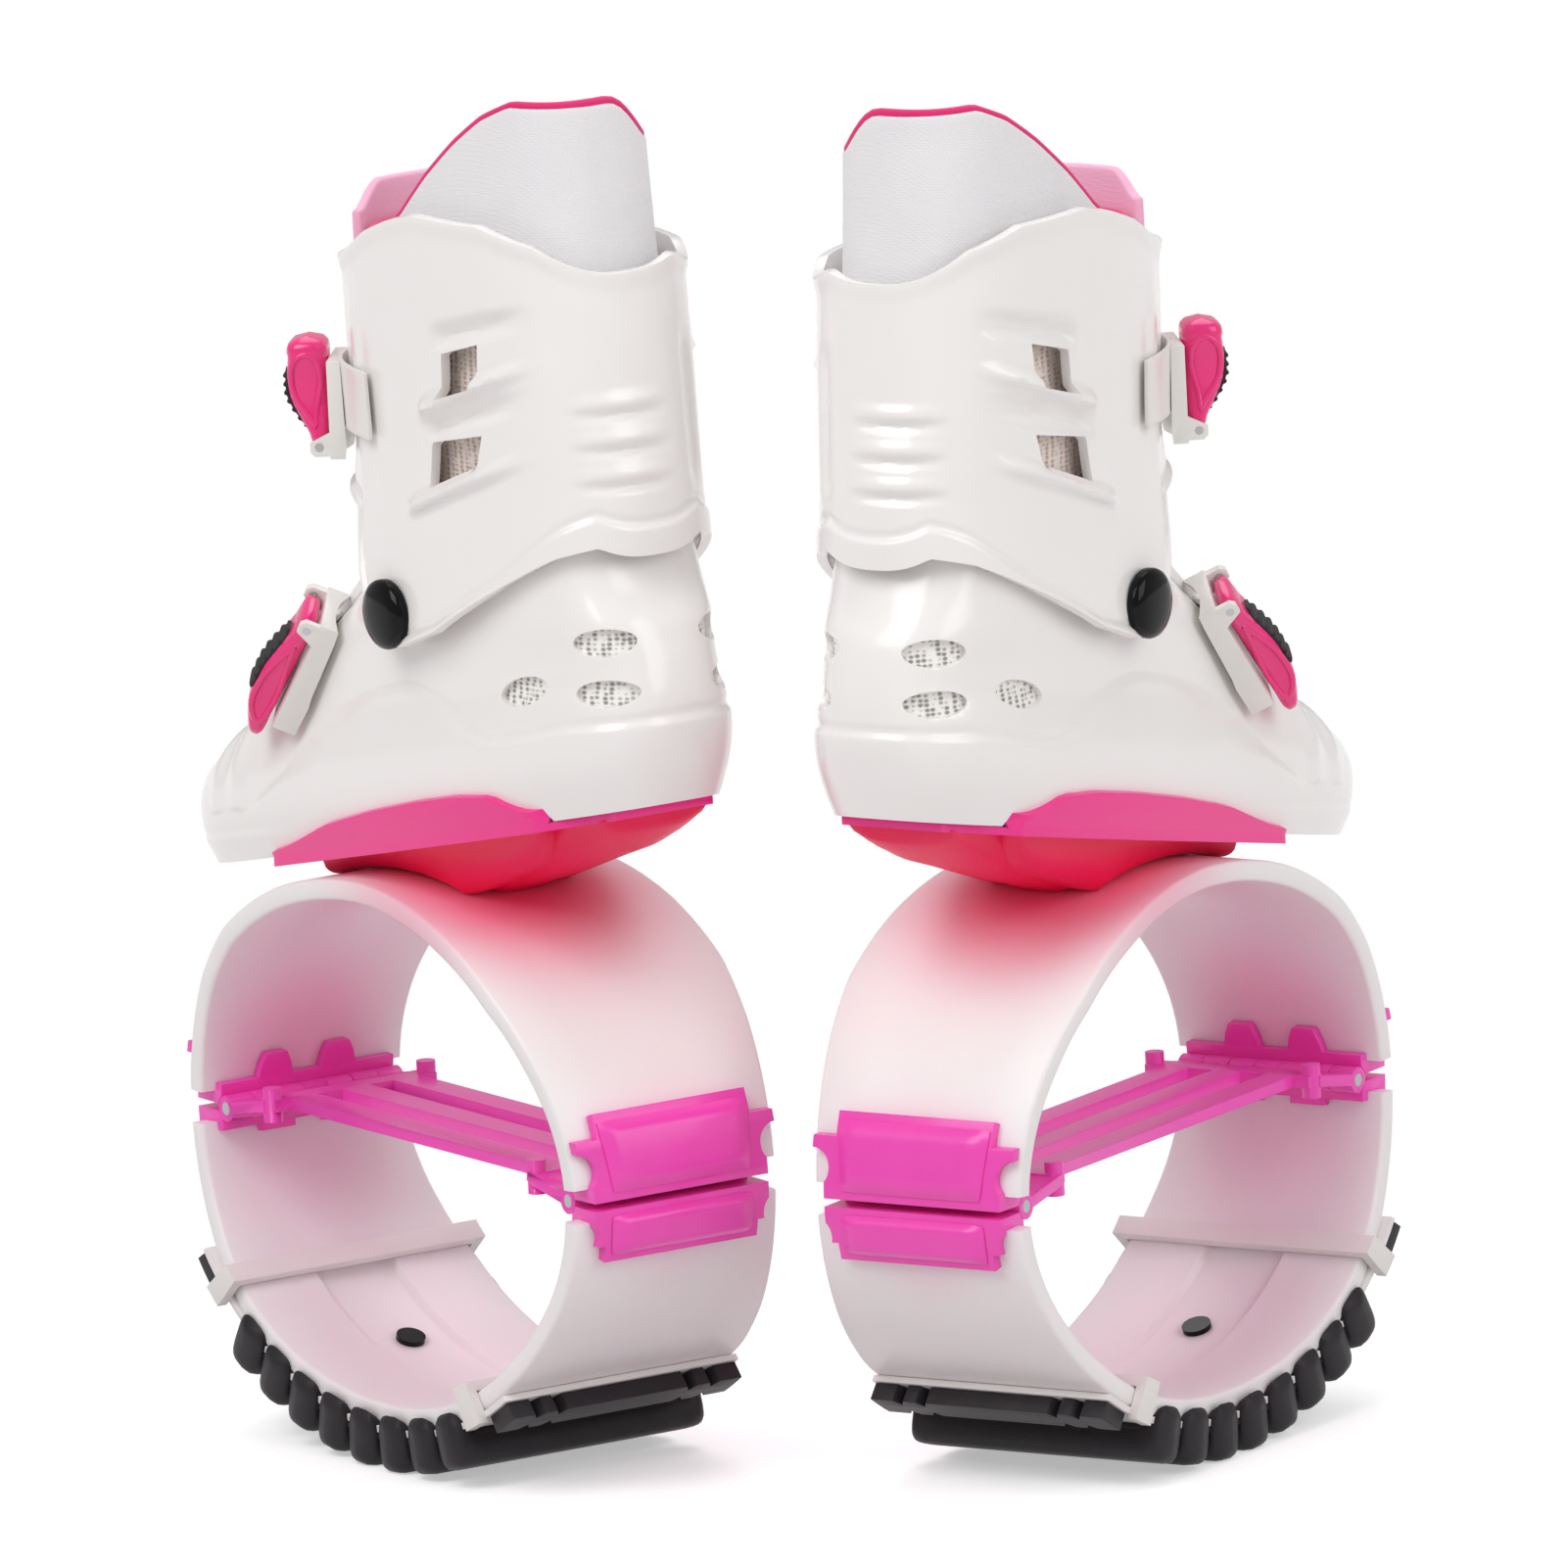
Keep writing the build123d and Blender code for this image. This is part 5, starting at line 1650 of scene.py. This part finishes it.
@dataclass
class Buckles:
    """Both straps with their bases, levers and grips."""

    fit: Fitter
    paint: Palette
    upper: BucklePlan = BucklePlan((16.0, 36.0, 390.0), (0.0, 0.0, 1.0), 50.0, 41.0, 20.0, tip=0.10, tuck=0.0)
    lower: BucklePlan = BucklePlan((29.0, 38.5, 320.0), (31.0, 9.0, -48.5), 50.0, 56.0, 16.0, tip=0.62, tuck=0.10)

    strap_width: float = 26.0
    strap_wall: float = 2.0
    strap_offset: float = 2.6

    def lever(self, name: str, plan: BucklePlan) -> bpy.types.Object:
        """A pink lever: a lofted grip that swells over the pin and thins to its tip."""
        origin, run, across, out = plan.axes()
        rows_list = []
        count, sides = 30, 28
        for i in range(count):
            t = i / (count - 1)
            x = -plan.root + (plan.length + plan.root) * t
            closing = math.sqrt(max(0.0, 1 - max(0.0, (t - 0.9) / 0.1) ** 2)) if t > 0.9 else 1.0
            opening = math.sqrt(max(0.0, 1 - (1 - t / 0.08) ** 2)) if t < 0.08 else 1.0
            shape = max(0.05, closing * opening)
            top, low = plan.top(t), plan.low(t)
            half = plan.half(t) * (0.35 + 0.65 * shape)
            mid, tall = (top + low) / 2, (top - low) / 2 * shape
            row = []
            for k in range(sides):
                turn = 2 * math.pi * (k + 0.5) / sides
                sy = signed_power(math.cos(turn), 0.6)
                sz = signed_power(math.sin(turn), 0.6)
                dish = 0.12 * tall * (1 - sy * sy) if sz > 0 and 0.15 < t < 0.85 else 0.0
                row.append(origin + run * x + across * (half * sy) + out * (mid + tall * sz - dish))
            rows_list.append(row)
        obj = grid(name, np.array(rows_list), close_u=True, cap_first=True, cap_last=True)
        outward(obj)
        smooth(obj, 60)
        parts = [obj] + [self.loop(plan, flank) for flank in (-1, 1)]
        for part in parts:
            part.data.materials.append(self.paint.pink)
        return join(name, parts)

    def loop(self, plan: BucklePlan, flank: int) -> bpy.types.Object:
        """The raised teardrop rim on a lever's side face."""
        origin, run, across, out = plan.axes()
        path = []
        for i in range(48):
            t = 2 * math.pi * i / 48
            share = 0.55 - 0.31 * math.cos(t)
            low, high = plan.low(share), plan.top(share)
            lift = (low + high) / 2 + (high - low) * 0.46 * math.sin(t) * math.sin(t / 2) ** 1.2
            place = -plan.root + (plan.length + plan.root) * share
            path.append(origin + run * place + across * (flank * (plan.half(share) - 0.6)) + out * lift)
        obj = tube("loop", np.array(path), 1.3, 10, closed=True)
        smooth(obj, 60)
        return obj

    def grip(self, name: str, plan: BucklePlan) -> bpy.types.Object:
        """The black toothed strip set in a lever's outer face."""
        origin, run, across, out = plan.axes()
        rows_list = []
        teeth = 7
        count = teeth * 8 + 1
        for i in range(count):
            s = i / (count - 1)
            t = 0.20 + 0.52 * s
            x = -plan.root + (plan.length + plan.root) * t
            top = plan.top(t)
            tooth = 0.9 * max(0.0, math.sin(2 * math.pi * teeth * s)) ** 0.6
            edge = math.sqrt(max(0.0, 1 - (2 * s - 1) ** 8))
            row = []
            for k in range(20):
                turn = 2 * math.pi * (k + 0.5) / 20
                sy = signed_power(math.cos(turn), 0.5)
                sz = signed_power(math.sin(turn), 0.5)
                height = top - 0.9 + 0.9 * sz + (tooth if sz > 0 else 0.0)
                row.append(origin + run * x + across * (6.4 * sy * max(edge, 0.2)) + out * height)
            rows_list.append(row)
        obj = grid(name, np.array(rows_list), close_u=True, cap_first=True, cap_last=True)
        outward(obj)
        smooth(obj, 35)
        obj.data.materials.append(self.paint.insert)
        return obj

    def band(self, name: str, former: Former, inside: Callable[[Vector], float], turns: Sequence[float],
             width: float, span: tuple[float, float]) -> bpy.types.Object:
        """A strap that follows a form between two edges.

        Args:
            name: the object's name.
            former: the form's point by place and direction.
            inside: signed distance from the strap's middle line at a point.
            turns: directions of the columns.
            width: the strap's width.
            span: lowest and highest ring place.

        Returns:
            The strap.
        """
        rows = np.zeros((13, len(turns), 3))
        for u, turn in enumerate(turns):
            ends = []
            for target in (-width / 2, width / 2):
                low, high = span
                for _ in range(24):
                    middle = (low + high) / 2
                    if inside(former(middle, turn)) < target:
                        low = middle
                    else:
                        high = middle
                ends.append((low + high) / 2)
            for v in range(13):
                place = ends[0] + (ends[1] - ends[0]) * v / 12
                rows[v, u] = former(place, turn)
        obj = grid(name, rows)
        thicken(obj, self.strap_wall)
        outward(obj)
        soften(obj, 0.6, 2, 50)
        smooth(obj, 45)
        obj.data.materials.append(self.paint.strap)
        return obj

    def build(self) -> None:
        """Make and attach both straps and buckles."""
        upper_turns = [-1.30 + 2.60 * i / 76 for i in range(77)]
        upper_band = self.band("upper_strap_band", lambda p, t: leg_point(p, t, self.strap_offset),
                               lambda q: q.z - 410.0, upper_turns, self.strap_width, LEG_SPAN)
        self.fit.settle(upper_band, "strap", "cuff", ["upper_strap"])
        lean = math.radians(36.0)
        lower_turns = [-0.85 + 1.70 * i / 60 for i in range(61)]

        def across_instep(q: Vector) -> float:
            """Distance from the lower strap's middle plane, growing up the leg."""
            return -((q.x - 46.0) * math.cos(lean) - (q.z - 304.0) * math.sin(lean))

        lower_band = self.band("lower_strap_band", lambda p, t: boot_point(p, t, self.strap_offset), across_instep,
                               lower_turns, self.strap_width, (0.6, 6.0))
        self.fit.settle(lower_band, "strap", "boot", ["lower_strap"])
        for level, plan, body in (("upper", self.upper, "cuff"), ("lower", self.lower, "boot")):
            base = self.fit.copy_solid(f"{level}_base", f"{level}_buckle_base", 0.7)
            base.data.materials.append(self.paint.strap)
            self.fit.settle(base, "strap", body, [f"{level}_buckle_base"])
            lever = self.lever(f"{level}_pink_lever", plan)
            self.fit.settle(lever, "pink", f"{level}_lever", [f"{level}_lever"])
            grip = self.grip(f"{level}_black_grip", plan)
            self.fit.settle(grip, "grip", f"{level}_lever", [f"{level}_lever_grip"])


# --------------------------------------------------------------------------------------
# Stage
# --------------------------------------------------------------------------------------


@dataclass
class Studio:
    """Pale floor, soft lamps and a long lens."""

    elevation_deg: float = 11.5
    roll_deg: float = -2.85
    target: Point = (0.003, 0.0, 0.254)
    view_height: float = 0.5886
    # Past about 1700 mm, the camera of the other views stands beyond the depth that it draws.
    lens: float = 1500.0
    sensor: float = 36.0
    draw_depth: float = 100.0
    floor_half: float = 6.0
    paper_glow: float = 0.42
    white_from: float = 0.20
    white_past: float = 0.46
    surround: float = 0.50

    def camera(self) -> None:
        """Put the camera at the photograph's viewing angle."""
        data = bpy.data.cameras.new("long_lens")
        data.lens = self.lens
        data.sensor_width = self.sensor
        data.clip_end = self.draw_depth
        distance = self.view_height / 2 / (self.sensor / 2 / self.lens)
        turn = Matrix.Rotation(math.radians(90 - self.elevation_deg), 4, "X")
        roll = Matrix.Rotation(math.radians(self.roll_deg), 4, "Z")
        lift = math.radians(self.elevation_deg)
        place = Vector(self.target) + distance * Vector((0, -math.cos(lift), math.sin(lift)))
        camera = bpy.data.objects.new("long_lens", data)
        camera.matrix_world = Matrix.Translation(place) @ turn @ roll
        bpy.context.scene.collection.objects.link(camera)
        bpy.context.scene.camera = camera

    def floor(self) -> None:
        """A white paper floor that shows soft shadows."""
        half = self.floor_half
        floor = new_object("paper_floor", [(-half, -half, 0), (half, -half, 0), (half, half, 0), (-half, half, 0)],
                           [(0, 1, 2, 3)])
        material = bpy.data.materials.new("white_paper")
        material.use_nodes = True
        tree = material.node_tree
        tree.nodes.clear()
        path = add_node(tree, "ShaderNodeLightPath")
        paper = add_node(tree, "ShaderNodeBsdfDiffuse", {"Color": linear("#F4F4F4")})
        glow = add_node(tree, "ShaderNodeEmission", {"Color": (1, 1, 1, 1), "Strength": self.paper_glow})
        lit = add_node(tree, "ShaderNodeAddShader", {0: paper.outputs[0], 1: glow.outputs[0]})
        seen = add_node(tree, "ShaderNodeMath", {0: path.outputs["Is Camera Ray"], 1: path.outputs["Is Glossy Ray"]},
                        operation="MAXIMUM")
        seen = add_node(tree, "ShaderNodeMath", {0: seen.outputs[0], 1: path.outputs["Is Transmission Ray"]},
                        operation="MAXIMUM")
        white = add_node(tree, "ShaderNodeEmission", {"Color": (1, 1, 1, 1), "Strength": 1.0})
        coords = add_node(tree, "ShaderNodeTexCoord")
        away = add_node(tree, "ShaderNodeVectorMath", {0: coords.outputs["Object"]}, operation="LENGTH")
        far = add_node(tree, "ShaderNodeMapRange", {
            0: away.outputs["Value"], 1: self.white_from, 2: self.white_past}, interpolation_type="SMOOTHSTEP")
        near = add_node(tree, "ShaderNodeMixShader", {0: far.outputs[0], 1: lit.outputs[0], 2: white.outputs[0]})
        table = add_node(tree, "ShaderNodeBsdfDiffuse", {"Color": linear("#CCCACA")})
        mix = add_node(tree, "ShaderNodeMixShader", {0: seen.outputs[0], 1: table.outputs[0], 2: near.outputs[0]})
        add_node(tree, "ShaderNodeOutputMaterial", {"Surface": mix.outputs[0]})
        floor.data.materials.append(material)

    def lamps(self) -> None:
        """Large soft lamps and an even pale surround."""
        for name, place, size, power in (
                ("key_softbox", (-1.6, -1.6, 2.4), 1.8, 38.0),
                ("fill_softbox", (2.0, -1.4, 1.5), 1.8, 20.0),
                ("top_softbox", (0.2, 1.2, 2.8), 2.2, 26.0)):
            data = bpy.data.lights.new(name, "AREA")
            data.size = size
            data.energy = power
            lamp = bpy.data.objects.new(name, data)
            aim = Vector((0, 0, 0.25)) - Vector(place)
            lamp.matrix_world = Matrix.Translation(place) @ aim.to_track_quat("-Z", "Y").to_matrix().to_4x4()
            bpy.context.scene.collection.objects.link(lamp)
        world = bpy.data.worlds.new("pale_surround")
        bpy.context.scene.world = world
        world.use_nodes = True
        tree = world.node_tree
        tree.nodes.clear()
        path = add_node(tree, "ShaderNodeLightPath")
        soft = add_node(tree, "ShaderNodeBackground", {"Color": (1.0, 0.99, 0.985, 1), "Strength": self.surround})
        white = add_node(tree, "ShaderNodeBackground", {"Color": (1, 1, 1, 1), "Strength": 1.0})
        mix = add_node(tree, "ShaderNodeMixShader", {
            0: path.outputs["Is Camera Ray"], 1: soft.outputs[0], 2: white.outputs[0]})
        add_node(tree, "ShaderNodeOutputWorld", {"Surface": mix.outputs[0]})

    def build(self) -> None:
        """Set the stage."""
        bpy.context.scene.view_settings.view_transform = "Standard"
        self.camera()
        self.floor()
        self.lamps()


@dataclass
class SmallHardware:
    """Solids whose shape is right, given their finishes."""

    fit: Fitter
    paint: Palette

    def build(self) -> None:
        """Dress the screws, bolts and pins."""
        finishes = {
            "tread_screws": self.paint.rivet, "sole_bolts": self.paint.steel, "hinge_pins": self.paint.steel,
            "upper_buckle_pin": self.paint.steel, "lower_buckle_pin": self.paint.steel}
        for name, material in finishes.items():
            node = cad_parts[self.fit.node(name)]
            node.data.materials.clear()
            node.data.materials.append(material)
            log.info("dressed %s", self.fit.node(name))


def main() -> None:
    """Build the stage and both shoes."""
    logging.basicConfig(level=logging.INFO)
    Studio().build()
    paint = Palette()
    for side in Side:
        fit = Fitter(side)
        SpringOval(fit, paint).build()
        Tread(fit, paint).build()
        SolePlate(fit, paint).build()
        BootShell(fit, paint).build()
        cuff = Cuff(fit, paint)
        cuff.build()
        cuff.rivets()
        InnerBoot(fit, paint).build()
        Buckles(fit, paint).build()
        SmallHardware(fit, paint).build()


if __name__ == "__main__":
    main()
